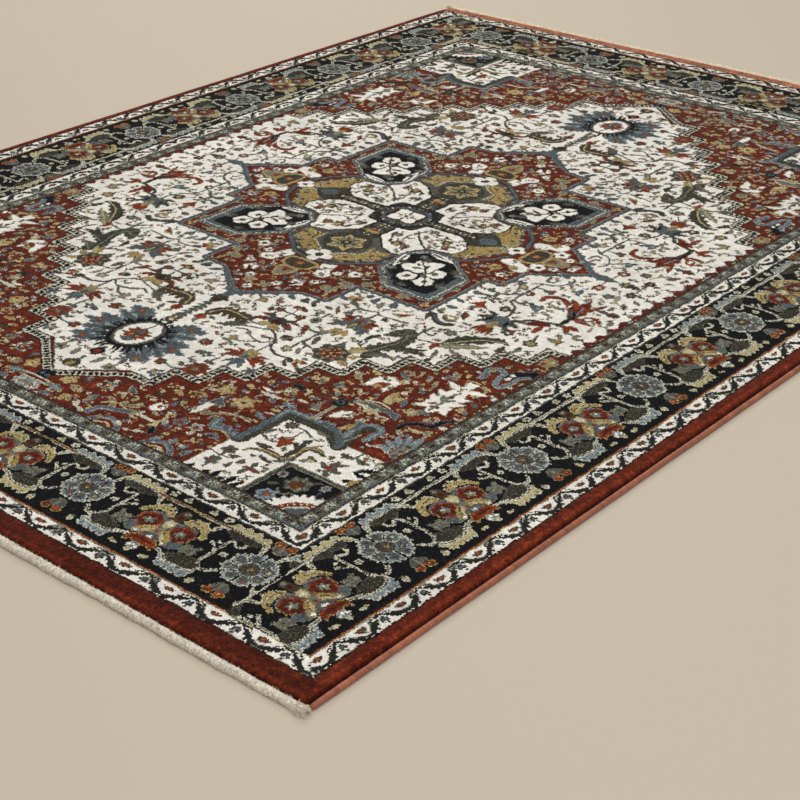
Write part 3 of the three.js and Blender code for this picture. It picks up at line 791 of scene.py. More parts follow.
def draw_middle_flowers(pen):
    """The flowers and feathered leaves on ivory beside the star's corner."""
    pen = pen.at(-9, -11)
    pen.petals("smoke", 5, 12, 9, 360, 334)
    pen.disc("sage", 360, 334, 4)
    pen.line("smoke", 3, (368 + 320j, 376 + 306j), False)
    # The long feathered leaf and its pale one
    pen.leaf("olive", 368 + 382j, 448 + 306j, 34, -0.14, 7, 0.3)
    pen.leaf("olive", 410 + 312j, 456 + 314j, 18, -0.12, 4, 0.3)
    pen.line("straw", 2.5, (368 + 382j, 388 + 350j, 412 + 322j, 444 + 308j))
    pen.leaf("sage", 372 + 386j, 432 + 342j, 22, -0.05, 5, 0.4)
    pen.line("straw", 3, (372 + 386j, 400 + 362j, 432 + 338j))
    pen.line("sage", 5, (388 + 374j, 408 + 388j, 428 + 392j))
    pen.leaf("smoke", 410 + 388j, 432 + 396j, 12, 0, 2)
    pen.leaf("sage", 420 + 360j, 434 + 372j, 8)
    pen.disc("brick", 366, 380, 7)
    pen.leaf("brick", 364 + 380j, 372 + 400j, 9)
    pen.disc("gold", 362, 378, 3)
    pen.line("olive", 4, (328 + 336j, 326 + 366j, 330 + 384j, 358 + 380j))
    pen.line("olive", 4, (330 + 384j, 332 + 420j), False)
    pen.line("olive", 4, (316 + 342j, 330 + 358j, 344 + 358j, 344 + 350j))
    pen.line("olive", 4, (344 + 362j, 334 + 360j), False)
    pen.leaf("sage", 386 + 400j, 390 + 424j, 10, 0, 2)
    pen.disc("bark", 390, 428, 6)
    pen.line("smoke", 3, (380 + 394j, 386 + 410j), False)
    pen.leaf("olive", 446 + 318j, 454 + 344j, 12, 0, 2)
    pen.disc("bark", 450, 336, 5)
    pen.leaf("olive", 468 + 302j, 472 + 330j, 12, 0, 2)
    pen.leaf("sage", 474 + 310j, 466 + 334j, 8)
    # Flowers under the star's side
    pen.leaf("gold", 166 + 342j, 180 + 318j, 12, 0, 2)
    pen.leaf("brick", 166 + 342j, 186 + 332j, 12, 0, 2)
    pen.leaf("gold", 170 + 344j, 158 + 328j, 10)
    pen.leaf("smoke", 172 + 344j, 194 + 352j, 10, 0, 2)
    pen.line("slate", 4, (176 + 352j, 214 + 358j, 228 + 350j, 242 + 358j, 266 + 354j, 290 + 352j))
    pen.line("smoke", 4, (234 + 358j, 235 + 376j), False)
    pen.leaf("gold", 250 + 342j, 276 + 322j, 15, 0.15, 2)
    pen.leaf("brick", 256 + 338j, 278 + 318j, 8, 0.15)
    pen.leaf("sage", 214 + 316j, 224 + 342j, 14, 0.1, 2)
    pen.leaf("slate", 200 + 304j, 212 + 336j, 15, 0.2, 2)
    pen.leaf("slate", 232 + 302j, 240 + 330j, 17, 0.2, 2)
    pen.leaf("smoke", 170 + 372j, 188 + 402j, 7)
    pen.leaf("smoke", 156 + 386j, 172 + 392j, 12, 0, 2)
    pen.leaf("smoke", 190 + 386j, 206 + 380j, 12, 0, 2)
    pen.disc("brick", 180, 388, 4)
    pen.disc("sage", 178, 436, 9, 12)
    pen.disc("olive", 178, 436, 5)
    pen.line("smoke", 3, (178 + 404j, 178 + 424j), False)
    pen.leaf("bark", 250 + 362j, 264 + 370j, 12)
    # The slate and rust flower
    bloom = pen.at(232, 398, 90)
    for side in (1, -1):
        bloom.leaf("rust", -4 + 8j * side, -8 + 34j * side, 16, 0, 3, 0.3)
        bloom.leaf("brick", 2 + 8j * side, 6 + 32j * side, 11)
        bloom.leaf("slate", 10 + 4j * side, 38 + 34j * side, 19, 0.05 * side, 3, 0.4)
        bloom.leaf("smoke", 8 + 8j * side, 22 + 38j * side, 14, 0, 2, 0.4)
        bloom.leaf("smoke", -20 + 6j * side, -14 + 22j * side, 9, 0, 2)
        bloom.leaf("gold", 34 + 4j * side, 56 + 16j * side, 12, 0, 2)
    bloom.leaf("slate", -22, 30, 28, 0, 3, 0.2)
    bloom.leaf("gold", 36, 64, 12)
    bloom.leaf("olive", -6, 22, 12)
    bloom.leaf("gold", 2, 24, 6)
    bloom.disc("brick", -10, 0, 4)
    pen.line("smoke", 4, (228 + 446j, 214 + 470j, 214 + 504j))
    pen.leaf("sage", 218 + 448j, 206 + 470j, 10)
    # The dark S of feathered leaves
    pen.line("olive", 22, (300 + 392j, 312 + 374j, 326 + 396j, 322 + 424j, 308 + 452j, 314 + 476j))
    for x, y in ((288, 398), (292, 380), (308, 362), (326, 370), (338, 392), (338, 412), (332, 430),
                 (300, 436), (296, 454), (302, 474), (330, 448)):
        pen.leaf("smoke", complex(0.7 * x + 94, 0.7 * y + 126), complex(x, y), 11)
    pen.line("sage", 3, (304 + 388j, 316 + 382j, 324 + 404j, 314 + 440j, 308 + 464j))
    pen.leaf("olive", 316 + 442j, 384 + 420j, 24, -0.1, 6, 0.35)
    pen.leaf("olive", 340 + 430j, 370 + 404j, 12, 0, 2)
    pen.line("sage", 2.4, (322 + 440j, 352 + 430j, 380 + 426j))
    pen.leaf("smoke", 306 + 480j, 358 + 462j, 20, -0.2, 5, 0.35)
    pen.line("sage", 2.4, (310 + 478j, 336 + 462j, 354 + 464j))
    pen.leaf("olive", 286 + 408j, 280 + 442j, 13, 0.1, 3)
    pen.line("olive", 3, (284 + 440j, 286 + 458j), False)
    # The rust floret in a dark ring with gold leaves
    pen.petals("smoke", 7, 33, 22, 270, 505, 10)
    pen.disc("olive", 270, 505, 26)
    pen.leaf("gold", 286 + 486j, 296 + 454j, 16, 0, 3)
    pen.leaf("straw", 290 + 484j, 306 + 462j, 10)
    pen.leaf("gold", 296 + 500j, 314 + 486j, 14, 0, 2)
    pen.leaf("gold", 294 + 516j, 316 + 524j, 14, 0, 2)
    pen.leaf("smoke", 256 + 484j, 262 + 460j, 16, 0.2, 2)
    pen.petals("sage", 8, 24, 11, 270, 505)
    pen.disc("brick", 270, 505, 17)
    pen.disc("rust", 270, 505, 14)
    pen.petals("straw", 6, 14, 3.6, 270, 505, 15, 0.6)
    pen.disc("gold", 270, 505, 3.5)
    pen.disc("slate", 262, 500, 2.5)
    pen.disc("slate", 278, 512, 2.5)


def draw_end_flowers(pen):
    """The flowers on ivory between the star's end point and the medallion's point."""
    pen = pen.at(-9.6, -9.6)
    # Beside the point of the star
    pen.leaf("olive", 108 + 392j, 130 + 396j, 12, 0, 2)
    pen.leaf("olive", 134 + 392j, 146 + 400j, 12, 0, 2)
    pen.leaf("smoke", 134 + 374j, 134 + 398j, 12, 0, 2)
    pen.leaf("brick", 120 + 424j, 134 + 412j, 10)
    pen.leaf("brick", 148 + 424j, 134 + 412j, 10)
    pen.leaf("olive", 134 + 408j, 134 + 430j, 12, 0, 2)
    pen.disc("gold", 134, 420, 4)
    pen.line("smoke", 4, (118 + 442j, 150 + 442j), False)
    pen.line("smoke", 4, (134 + 428j, 134 + 472j), False)
    for x in (112, 155):
        pen.petals("bark", 5, 10, 8, x, 442)
        pen.disc("brick", x, 444, 4)
    pen.leaf("slate", 12 + 428j, 30 + 446j, 16, 0, 2)
    pen.leaf("sage", 56 + 424j, 78 + 440j, 15, 0, 3)
    pen.disc("gold", 66, 436, 6)
    pen.disc("brick", 60, 440, 3)
    pen.line("smoke", 3, (38 + 414j, 60 + 430j), False)
    pen.leaf("slate", 38 + 404j, 58 + 416j, 12)
    pen.leaf("slate", 84 + 388j, 104 + 402j, 12)
    pen.leaf("slate", 60 + 398j, 74 + 408j, 10)
    pen.leaf("bark", 94 + 442j, 104 + 458j, 12, 0, 2)
    # The dark and rust crown
    crown = pen.at(136, 476, 90)
    for side in (1, -1):
        crown.leaf("brick", 2 + 8j * side, 14 + 40j * side, 16, 0.1 * side, 3, 0.35)
        crown.leaf("brick", -6 + 10j * side, -8 + 42j * side, 9, 0.1 * side)
        crown.leaf("olive", -4 + 8j * side, -30 + 24j * side, 13, -0.2 * side, 2)
        crown.leaf("olive", -2 + 8j * side, 4 + 26j * side, 9)
    crown.blob("olive", (-14, -6 + 16j, 8 + 12j, 12, 8 - 12j, -6 - 16j))
    crown.leaf("wine", -8, 14, 14)
    crown.disc("slate", -2, 8, 3)
    for spread in (-1, -0.35, 0.35, 1):
        crown.leaf("gold", 10 + 10j * spread, 28 + 20j * spread, 10)
    pen.leaf("bark", 178 + 456j, 192 + 480j, 13, 0, 2)
    pen.disc("brick", 184, 462, 5)
    pen.disc("brick", 190, 474, 4)
    pen.line("smoke", 3, (190 + 466j, 214 + 466j), False)
    pen.petals("sage", 5, 10, 8, 188, 509)
    pen.disc("olive", 184, 507, 6)
    pen.disc("brick", 194, 512, 5)
    pen.leaf("smoke", 222 + 474j, 230 + 502j, 14, 0, 2)
    pen.line("smoke", 4, (214 + 500j, 222 + 508j, 246 + 512j))
    pen.line("smoke", 3, (227 + 508j, 230 + 534j), False)
    pen.leaf("sage", 224 + 522j, 234 + 540j, 10, 0, 2)
    pen.line("smoke", 4, (212 + 500j, 213 + 526j), False)
    pen.petals("sage", 5, 11, 9, 212, 536)
    pen.disc("straw", 212, 536, 4)
    # Bold dark stems
    pen.line("olive", 5, (150 + 504j, 168 + 514j, 184 + 532j, 188 + 546j, 208 + 560j, 236 + 560j))
    pen.line("smoke", 3, (184 + 540j, 186 + 572j), False)
    pen.line("smoke", 4, (184 + 530j, 166 + 546j, 140 + 540j, 124 + 528j, 108 + 534j))
    pen.line("smoke", 4, (160 + 548j, 148 + 560j, 128 + 566j))
    pen.line("slate", 4, (148 + 506j, 122 + 516j, 108 + 520j, 94 + 526j))
    pen.leaf("smoke", 110 + 506j, 82 + 536j, 19, 0.1, 4, 0.4)
    pen.leaf("smoke", 104 + 524j, 68 + 544j, 17, 0, 4, 0.4)
    pen.leaf("sage", 126 + 528j, 140 + 542j, 10, 0, 2)
    pen.leaf("sage", 118 + 558j, 138 + 566j, 14, 0, 2)
    pen.leaf("gold", 124 + 552j, 126 + 578j, 10, 0, 2)
    pen.leaf("sage", 114 + 572j, 136 + 576j, 8)
    pen.leaf("olive", 232 + 556j, 250 + 568j, 16, 0, 3)
    pen.leaf("brick", 246 + 556j, 270 + 556j, 14, 0, 2)
    pen.leaf("gold", 246 + 552j, 262 + 560j, 6)
    pen.leaf("brick", 250 + 562j, 264 + 574j, 8)
    pen.leaf("olive", 234 + 568j, 250 + 582j, 8)
    pen.leaf("olive", 264 + 572j, 282 + 580j, 10)
    pen.leaf("sage", 250 + 544j, 262 + 546j, 8)
    # Arched leaves and the middle stem
    pen.line("bark", 20, (38 + 520j, 42 + 506j, 58 + 500j, 96 + 498j))
    for k in range(5):
        x = 44 + 13 * k
        pen.leaf("bark", complex(x, 500), complex(x + 6, 520), 11)
        pen.leaf("bark", complex(x + 2, 500), complex(x + 8, 484), 11)
    pen.line("olive", 7, (40 + 518j, 46 + 504j, 60 + 498j, 94 + 500j))
    pen.line("straw", 2.6, (36 + 522j, 44 + 502j, 60 + 495j, 98 + 500j))
    pen.line("smoke", 4, (98 + 500j, 112 + 504j, 128 + 502j))
    pen.line("slate", 6, (9.6 + 488j, 9.6 + 556j), False)
    for y in range(494, 560, 11):
        pen.leaf("smoke", 9.6 + 1j * y, 20 + 1j * (y + 8), 7)
    pen.leaf("olive", 2 + 468j, 32 + 478j, 12, -0.15, 2)
    pen.blob("olive", (9.6 + 452j, 20 + 462j, 20 + 480j, 9.6 + 490j))
    pen.disc("wine", 9.6, 478, 6)
    pen.blob("slate", (4 + 442j, 18 + 444j, 16 + 460j, 4 + 462j))
    pen.leaf("smoke", 9.6 + 552j, 20 + 572j, 9)
    pen.petals("brick", 5, 11, 10, 36, 540)
    pen.disc("brick", 36, 540, 8)
    pen.disc("rust", 36, 540, 4)
    pen.leaf("sage", 34 + 550j, 42 + 564j, 11, 0, 2)
    pen.line("smoke", 3, (30 + 512j, 34 + 530j), False)
    pen.petals("bark", 5, 12, 9, 11, 577)
    pen.disc("gold", 11, 574, 4)
    pen.leaf("smoke", 46 + 528j, 62 + 536j, 8)
    # The big blue palmette round an ivory oval
    for base, tip, wide in ((30 + 612j, 62 + 568j, 26), (40 + 606j, 92 + 576j, 34),
                            (40 + 620j, 96 + 604j, 26), (48 + 640j, 106 + 632j, 34),
                            (50 + 655j, 122 + 656j, 24), (48 + 660j, 100 + 684j, 32),
                            (40 + 672j, 92 + 712j, 36), (30 + 686j, 64 + 716j, 28)):
        pen.leaf("sky", base, tip, wide, 0, 5, 0.4)
        pen.leaf("slate", base, 0.94 * tip + 0.06 * base, 0.84 * wide, 0, 5, 0.4)
        pen.line("olive", 1.6, (base, 0.8 * tip + 0.2 * base), False)
    for base, tip in ((44 + 610j, 84 + 584j), (52 + 648j, 104 + 650j), (46 + 680j, 82 + 704j),
                      (46 + 628j, 84 + 612j)):
        pen.leaf("sky", base, tip, 8, 0.1)
    for x, y in ((64, 587), (88, 652), (68, 706)):
        pen.petals("slate", 5, 17, 12, x, y)
        pen.disc("smoke", x, y, 8)
        pen.disc("brick", x, y, 5)
        pen.disc("gold", x + 1, y, 2)
    middle = 9.6 + 648j
    for k in range(17):
        turn = bearing(-80 + 10 * k)
        root = middle + complex(36 * turn.real, 44 * turn.imag)
        tip = middle + complex(60 * turn.real, 70 * turn.imag)
        pen.leaf("navy", root, tip * (1 + 0.01 * (k % 2)), 6)
    pen.disc("navy", 9.6, 648, 43, 53)
    pen.disc("smoke", 9.6, 646, 37, 46)
    pen.disc("ivory", 9.6, 646, 31, 41)
    inner = pen.at(9.6, 648, -90)
    inner.leaf("slate", -30, -8, 26, 0, 2, 0.2)
    inner.leaf("slate", 2, 26, 12)
    inner.leaf("brick", 0, 6 + 26j, 10)
    inner.leaf("brick", -4, -8 + 26j, 10)
    inner.leaf("brick", 4, 18 + 18j, 9)
    inner.leaf("brick", -6, -18 + 16j, 8)
    inner.disc("olive", 0, 0, 8)
    inner.disc("slate", 6, 4, 4)
    inner.disc("gold", -6, 6, 3)
    inner.line("smoke", 3, (26, 42), False)
    tail = pen.at(9.6, 704, 90)
    tail.leaf("slate", 0, 12 + 26j, 22, 0, 3, 0.3)
    tail.leaf("slate", 4, 34 + 22j, 22, 0, 3, 0.3)
    tail.leaf("slate", 8, 46 + 6j, 20, 0, 2, 0.3)
    tail.leaf("sky", 8 + 4j, 30 + 18j, 7)
    tail.disc("navy", 24, 0, 12)
    tail.disc("brick", 24, 3, 9)
    tail.disc("gold", 28, 4, 4)
    tail.disc("smoke", 20, 6, 3)
    # Rust palmette and the florets below it
    rusty = pen.at(185, 594, 90)
    for side in (1, -1):
        rusty.leaf("brick", 2 + 6j * side, 6 + 42j * side, 17, 0.1 * side, 4, 0.4)
        rusty.leaf("brick", 0 + 6j * side, -14 + 32j * side, 9, 0.1 * side)
        rusty.leaf("brick", 6 + 4j * side, 22 + 36j * side, 9, 0.1 * side)
        rusty.leaf("slate", 10 + 2j * side, 36 + 16j * side, 12, 0, 2)
        rusty.leaf("gold", -8 + 2j * side, -22 + 12j * side, 12, 0, 2)
    rusty.leaf("sage", -20, 16, 26, 0, 3, 0.3)
    rusty.leaf("gold", -26, -2, 10)
    rusty.leaf("slate", 14, 42, 12)
    rusty.leaf("smoke", -6, 12, 10)
    pen.line("smoke", 4, (158 + 612j, 159 + 648j), False)
    pen.petals("slate", 5, 12, 8, 136, 629)
    pen.leaf("smoke", 118 + 630j, 130 + 630j, 10)
    pen.line("smoke", 3, (122 + 628j, 150 + 626j), False)
    pen.petals("slate", 5, 13, 8, 222, 627)
    pen.disc("smoke", 222, 627, 5)
    pen.petals("smoke", 4, 14, 10, 160, 652, 45)
    pen.petals("brick", 8, 23, 14, 160, 674)
    pen.disc("bark", 160, 674, 14)
    pen.petals("brick", 6, 14, 7, 160, 674, 20)
    pen.disc("sage", 160, 674, 5)
    pen.leaf("smoke", 140 + 678j, 150 + 664j, 8)
    pen.petals("bark", 5, 11, 9, 104, 690)
    pen.disc("brick", 102, 691, 5)
    pen.line("slate", 4, (112 + 690j, 130 + 692j, 146 + 684j))
    pen.leaf("smoke", 124 + 672j, 140 + 680j, 10, 0, 2)
    pen.petals("slate", 5, 14, 9, 124, 720)
    pen.leaf("gold", 112 + 714j, 128 + 722j, 6)
    pen.petals("bark", 5, 13, 10, 108, 600)
    pen.leaf("brick", 104 + 592j, 118 + 612j, 10)
    pen.disc("sage", 100, 598, 4)
    pen.line("slate", 4, (46 + 716j, 58 + 722j, 66 + 740j))
    pen.leaf("slate", 62 + 718j, 66 + 736j, 8)
    pen.petals("sage", 5, 13, 9, 62, 752)
    pen.disc("olive", 62, 752, 5)
    pen.disc("gold", 58, 750, 3)
    pen.leaf("sage", 36 + 736j, 30 + 762j, 11, 0, 2)
    foot = pen.at(11, 772, 90)
    foot.leaf("olive", 8, -12 + 26j, 10, -0.3)
    foot.leaf("olive", 10 + 4j, 2 + 28j, 10, -0.2)
    foot.blob("olive", (-8, 0 + 10j, 14 + 14j, 20, 14 - 12j, 0 - 10j))
    foot.leaf("brick", 6 + 4j, 24 + 8j, 9)
    foot.leaf("gold", 2, 18, 7)
    foot.disc("smoke", 4, 8, 3)
    foot.line("smoke", 3, (-20, -6), False)


def draw_rust_flowers(pen):
    """The flowers on the rust field between the medallion and the corners."""
    pen = pen.at(-7, -7.5)
    # By the side of the field
    pen.leaf("gold", 520 + 310j, 536 + 334j, 16, 0, 2)
    pen.petals("sage", 6, 18, 13, 528, 316)
    pen.disc("gold", 528, 318, 9)
    pen.disc("brick", 524, 324, 4)
    pen.disc("straw", 532, 312, 3)
    pen.line("navy", 16, (534 + 362j, 524 + 372j, 516 + 378j, 512 + 392j))
    pen.disc("ivory", 513, 384, 3.5, 5)
    pen.disc("ivory", 514, 398, 3.5, 6)
    pen.leaf("navy", 530 + 350j, 542 + 380j, 12)
    river = (482 + 420j, 478 + 400j, 476 + 388j, 488 + 380j, 500 + 388j, 505 + 410j, 510 + 424j, 520 + 426j,
             526 + 408j, 526 + 390j, 534 + 376j)
    pen.line("slate", 10, river)
    pen.line("sky", 6, river)
    pen.line("slate", 2, river)
    pen.leaf("slate", 478 + 398j, 488 + 416j, 10, 0, 2)
    pen.line("straw", 4, (474 + 440j, 488 + 436j, 504 + 440j, 518 + 446j))
    pen.line("sage", 4, (478 + 446j, 492 + 442j, 510 + 446j, 516 + 458j, 510 + 474j))
    pen.leaf("straw", 464 + 422j, 470 + 436j, 8)
    pen.leaf("sage", 444 + 428j, 460 + 446j, 12, 0, 2)
    pen.leaf("slate", 442 + 446j, 458 + 452j, 10)
    pen.disc("straw", 432, 436, 4, 6)
    pen.disc("brick", 433, 438, 2)
    # The big ivory feathered leaf
    leaf = pen.at(489, 502, 90)
    leaf.leaf("ivory", 54, -56, 38)
    for x, reach, lift in ((38, 24, 18), (18, 31, 18), (0, 30, 16), (-26, 12, -14), (-34, 36, 10)):
        for side in (1, -1):
            leaf.leaf("ivory", complex(x + 4, 2 * side), complex(x - lift, reach * side), 15)
    leaf.leaf("ivory", 30 + 6j, 44 + 30j, 12)
    leaf.leaf("ivory", 30 - 6j, 44 - 30j, 12)
    leaf.leaf("ivory", -40, -62 + 8j, 13)
    leaf.leaf("ivory", -40, -64 - 6j, 13)
    leaf.leaf("rust", 22 + 3j, 30 + 14j, 6)
    leaf.disc("wine", 32, -2, 5)
    leaf.line("sage", 4, (46, 20, -10 + 2j, -24 - 2j))
    leaf.leaf("sage", 14, -4 + 12j, 7)
    leaf.leaf("sage", 14, -4 - 12j, 7)
    leaf.disc("bark", -6, 0, 5, 4)
    leaf.disc("brick", 34, 4, 4)
    pen.leaf("slate", 478 + 556j, 500 + 560j, 12, 0, 2)
    pen.petals("sage", 5, 13, 9, 476, 568)
    pen.disc("straw", 476, 568, 6)
    pen.leaf("smoke", 520 + 490j, 536 + 500j, 12)
    pen.petals("straw", 5, 8, 7, 523, 518)
    pen.disc("gold", 522, 518, 4)
    pen.leaf("slate", 528 + 516j, 534 + 526j, 9)
    pen.disc("ivory", 538, 462, 5, 7)
    pen.disc("cream", 530, 456, 3)
    pen.line("navy", 10, (490 + 616j, 492 + 602j, 500 + 590j, 514 + 586j))
    pen.line("navy", 9, (502 + 586j, 522 + 584j, 526 + 566j, 534 + 548j))
    pen.leaf("navy", 528 + 580j, 516 + 558j, 12)
    pen.leaf("slate", 502 + 578j, 522 + 566j, 7)
    pen.leaf("straw", 500 + 606j, 530 + 602j, 10, 0.1, 2)
    pen.leaf("sage", 526 + 596j, 536 + 612j, 10)
    pen.disc("cream", 536, 576, 5)
    pen.disc("straw", 504, 572, 4)
    # The light-blue fan by the side
    for k in range(5):
        tip = 546 + 660j + 50 * bearing(168 + 22 * k)
        pen.leaf("slate", 538 + 662j, tip, 17)
        pen.leaf("sky", 538 + 662j, tip, 11)
        pen.leaf("gold" if k % 2 else "brick", 536 + 662j, (tip + 538 + 662j) / 2 + 2j, 5)
    pen.line("sky", 5, (490 + 678j, 504 + 672j, 522 + 678j))
    pen.line("brick", 4, (500 + 690j, 514 + 684j, 526 + 688j))
    for y in (648, 662, 676):
        pen.disc("sage", 534, y, 7)
        pen.disc("olive", 534, y, 3)
    # Pale-gold cluster, lens, stripes
    pen.leaf("gold", 430 + 566j, 424 + 532j, 17, 0, 3)
    pen.leaf("gold", 426 + 564j, 444 + 546j, 14, 0, 2)
    pen.leaf("straw", 434 + 566j, 418 + 548j, 12, 0, 2)
    pen.leaf("straw", 424 + 566j, 440 + 568j, 12, 0, 2)
    pen.leaf("slate", 446 + 546j, 454 + 566j, 9)
    pen.leaf("sage", 400 + 590j, 452 + 588j, 20, 0.05)
    pen.leaf("slate", 406 + 590j, 460 + 594j, 11, -0.05)
    pen.line("cream", 3, (402 + 596j, 424 + 600j, 448 + 606j, 462 + 606j))
    pen.line("cream", 3, (404 + 582j, 424 + 576j, 446 + 580j))
    pen.leaf("slate", 448 + 582j, 476 + 602j, 14, 0, 3)
    pen.leaf("slate", 452 + 590j, 474 + 588j, 9)
    pen.petals("straw", 5, 12, 8, 431, 602)
    pen.line("cream", 6, (384 + 614j, 383 + 664j), False)
    pen.line("sage", 3, (384 + 614j, 383 + 664j), False)
    # Ivory leaf with the rust heart, and the one below the lens
    flower = pen.at(388, 524)
    flower.leaf("ivory", 6 - 24j, -22 + 6j, 18)
    flower.leaf("ivory", 8 - 18j, 22 + 2j, 17)
    flower.leaf("ivory", 4 - 8j, 18 + 24j, 16)
    flower.leaf("ivory", -4 - 6j, -20 + 26j, 17)
    flower.blob("ivory", (-8 - 18j, 10 - 20j, 16, 6 + 16j, -12 + 16j, -16))
    flower.disc("brick", 2, 8, 9)
    flower.disc("gold", 0, 12, 5)
    flower.leaf("brick", 4 - 4j, 14 + 2j, 6)
    flower.leaf("gold", -10 + 14j, 4 + 20j, 5)
    pen.leaf("ivory", 414 + 620j, 396 + 654j, 22, 0, 3, 0.3)
    pen.leaf("ivory", 412 + 626j, 424 + 640j, 12)
    pen.leaf("olive", 420 + 624j, 406 + 640j, 5)
    # Small flowers between the steps and the lens
    pen.leaf("slate", 424 + 462j, 436 + 482j, 10, 0, 2)
    pen.leaf("sky", 428 + 464j, 434 + 476j, 4)
    pen.petals("sage", 5, 12, 9, 396, 478)
    pen.leaf("slate", 384 + 480j, 414 + 492j, 9, 0.1)
    pen.petals("gold", 5, 9, 7, 410, 502)
    pen.disc("cream", 412, 502, 4)
    pen.leaf("slate", 438 + 500j, 452 + 516j, 12, 0, 2)
    pen.leaf("straw", 440 + 498j, 448 + 510j, 4)
    pen.leaf("sage", 444 + 470j, 450 + 494j, 8)
    pen.line("sage", 4, (414 + 462j, 412 + 478j), False)
    pen.leaf("straw", 350 + 500j, 372 + 512j, 12, 0, 2)
    pen.leaf("sage", 340 + 526j, 356 + 540j, 12, 0, 2)
    pen.disc("slate", 345, 572, 8)
    pen.petals("straw", 5, 12, 8, 357, 582)
    pen.disc("brick", 352, 578, 3)
    pen.petals("straw", 5, 12, 8, 316, 576, 30)
    pen.disc("slate", 320, 580, 5)
    pen.leaf("olive", 290 + 606j, 326 + 620j, 14, 0, 3)
    pen.leaf("navy", 296 + 612j, 316 + 616j, 7)
    pen.petals("sage", 5, 14, 9, 306, 632)
    pen.disc("cream", 304, 632, 4)
    pen.leaf("straw", 326 + 606j, 330 + 628j, 9, 0, 2)
    pen.petals("olive", 4, 18, 14, 382, 610, 45)
    pen.disc("navy", 382, 611, 11)
    pen.disc("slate", 382, 611, 6)
    pen.disc("navy", 382, 611, 3)
    pen.leaf("straw", 360 + 604j, 374 + 606j, 6)
    pen.leaf("straw", 392 + 606j, 402 + 604j, 6)
    pen.leaf("slate", 354 + 638j, 376 + 650j, 14, 0, 3)
    pen.leaf("sage", 362 + 632j, 370 + 654j, 11)
    pen.leaf("cream", 330 + 642j, 350 + 642j, 7)
    pen.leaf("ivory", 268 + 646j, 300 + 646j, 9, 0.1, 3)
    pen.leaf("cream", 272 + 658j, 322 + 654j, 10, 0.05, 4)
    pen.leaf("cream", 292 + 650j, 296 + 640j, 8)
    pen.petals("gold", 5, 15, 12, 236, 688)
    pen.disc("straw", 236, 688, 7)
    pen.disc("brick", 240, 684, 3)
    pen.petals("gold", 6, 20, 12, 281, 700)
    pen.petals("straw", 6, 13, 8, 281, 700, 30)
    pen.disc("brick", 280, 700, 4)
    pen.leaf("slate", 300 + 664j, 314 + 674j, 9)
    pen.petals("brick", 4, 10, 7, 302, 686)
    pen.leaf("straw", 320 + 688j, 346 + 684j, 7)
    pen.leaf("cream", 322 + 700j, 340 + 696j, 5)
    pen.leaf("slate", 322 + 662j, 348 + 664j, 15, 0, 3)
    pen.leaf("sky", 326 + 662j, 344 + 664j, 5)
    pen.leaf("slate", 312 + 706j, 340 + 716j, 13, 0.1, 2)
    pen.leaf("sky", 316 + 708j, 338 + 716j, 5, 0.1)
    pen.line("sage", 5, (270 + 752j, 286 + 740j, 304 + 734j, 330 + 728j))
    pen.line("cream", 3, (276 + 742j, 300 + 732j, 326 + 736j))
    pen.leaf("sage", 256 + 762j, 276 + 746j, 12)
    # The tall ivory bud with a slate cap, the smaller one, the slate arch
    pen.leaf("slate", 244 + 744j, 250 + 704j, 18, 0.1)
    pen.leaf("slate", 236 + 742j, 232 + 724j, 10)
    pen.leaf("slate", 258 + 720j, 268 + 728j, 9)
    pen.leaf("ivory", 246 + 772j, 250 + 718j, 15)
    pen.leaf("smoke", 248 + 734j, 250 + 712j, 6)
    pen.blob("ivory", (192 + 780j, 200 + 772j, 212 + 778j, 212 + 790j, 204 + 802j, 192 + 796j))
    pen.disc("brick", 202, 786, 3.5, 6)
    pen.disc("sage", 208, 782, 3)
    arch = (290 + 758j, 296 + 776j, 314 + 770j, 330 + 772j, 346 + 782j, 348 + 770j)
    pen.line("slate", 14, arch)
    pen.line("sky", 6, arch)
    for x in (300, 312, 326, 340):
        pen.leaf("slate", complex(x, 774), complex(x + 4, 760), 10)
    pen.line("sage", 4, (300 + 784j, 318 + 780j, 338 + 788j))
    pen.line("slate", 5, (306 + 800j, 314 + 790j, 324 + 796j, 318 + 804j))
    pen.petals("sky", 5, 13, 9, 283, 796)
    pen.disc("brick", 283, 796, 5)
    pen.petals("slate", 5, 13, 9, 256, 798, 36)
    pen.disc("brick", 256, 798, 4)
    pen.leaf("smoke", 318 + 818j, 326 + 830j, 7)
    pen.line("straw", 5, (228 + 796j, 234 + 808j, 232 + 822j, 238 + 830j))
    pen.leaf("navy", 236 + 830j, 252 + 856j, 14, 0, 2)
    pen.line("cream", 5, (192 + 822j, 226 + 822j), False)
    pen.leaf("gold", 180 + 736j, 204 + 742j, 12, 0, 2)
    pen.petals("sage", 5, 10, 7, 220, 722)
    pen.leaf("olive", 166 + 758j, 188 + 764j, 10)
    pen.leaf("slate", 126 + 768j, 154 + 780j, 12, 0.1, 3)
    pen.leaf("sage", 130 + 778j, 150 + 790j, 9)
    pen.disc("brick", 142, 782, 3)
    pen.leaf("slate", 104 + 774j, 112 + 792j, 9, 0, 2)
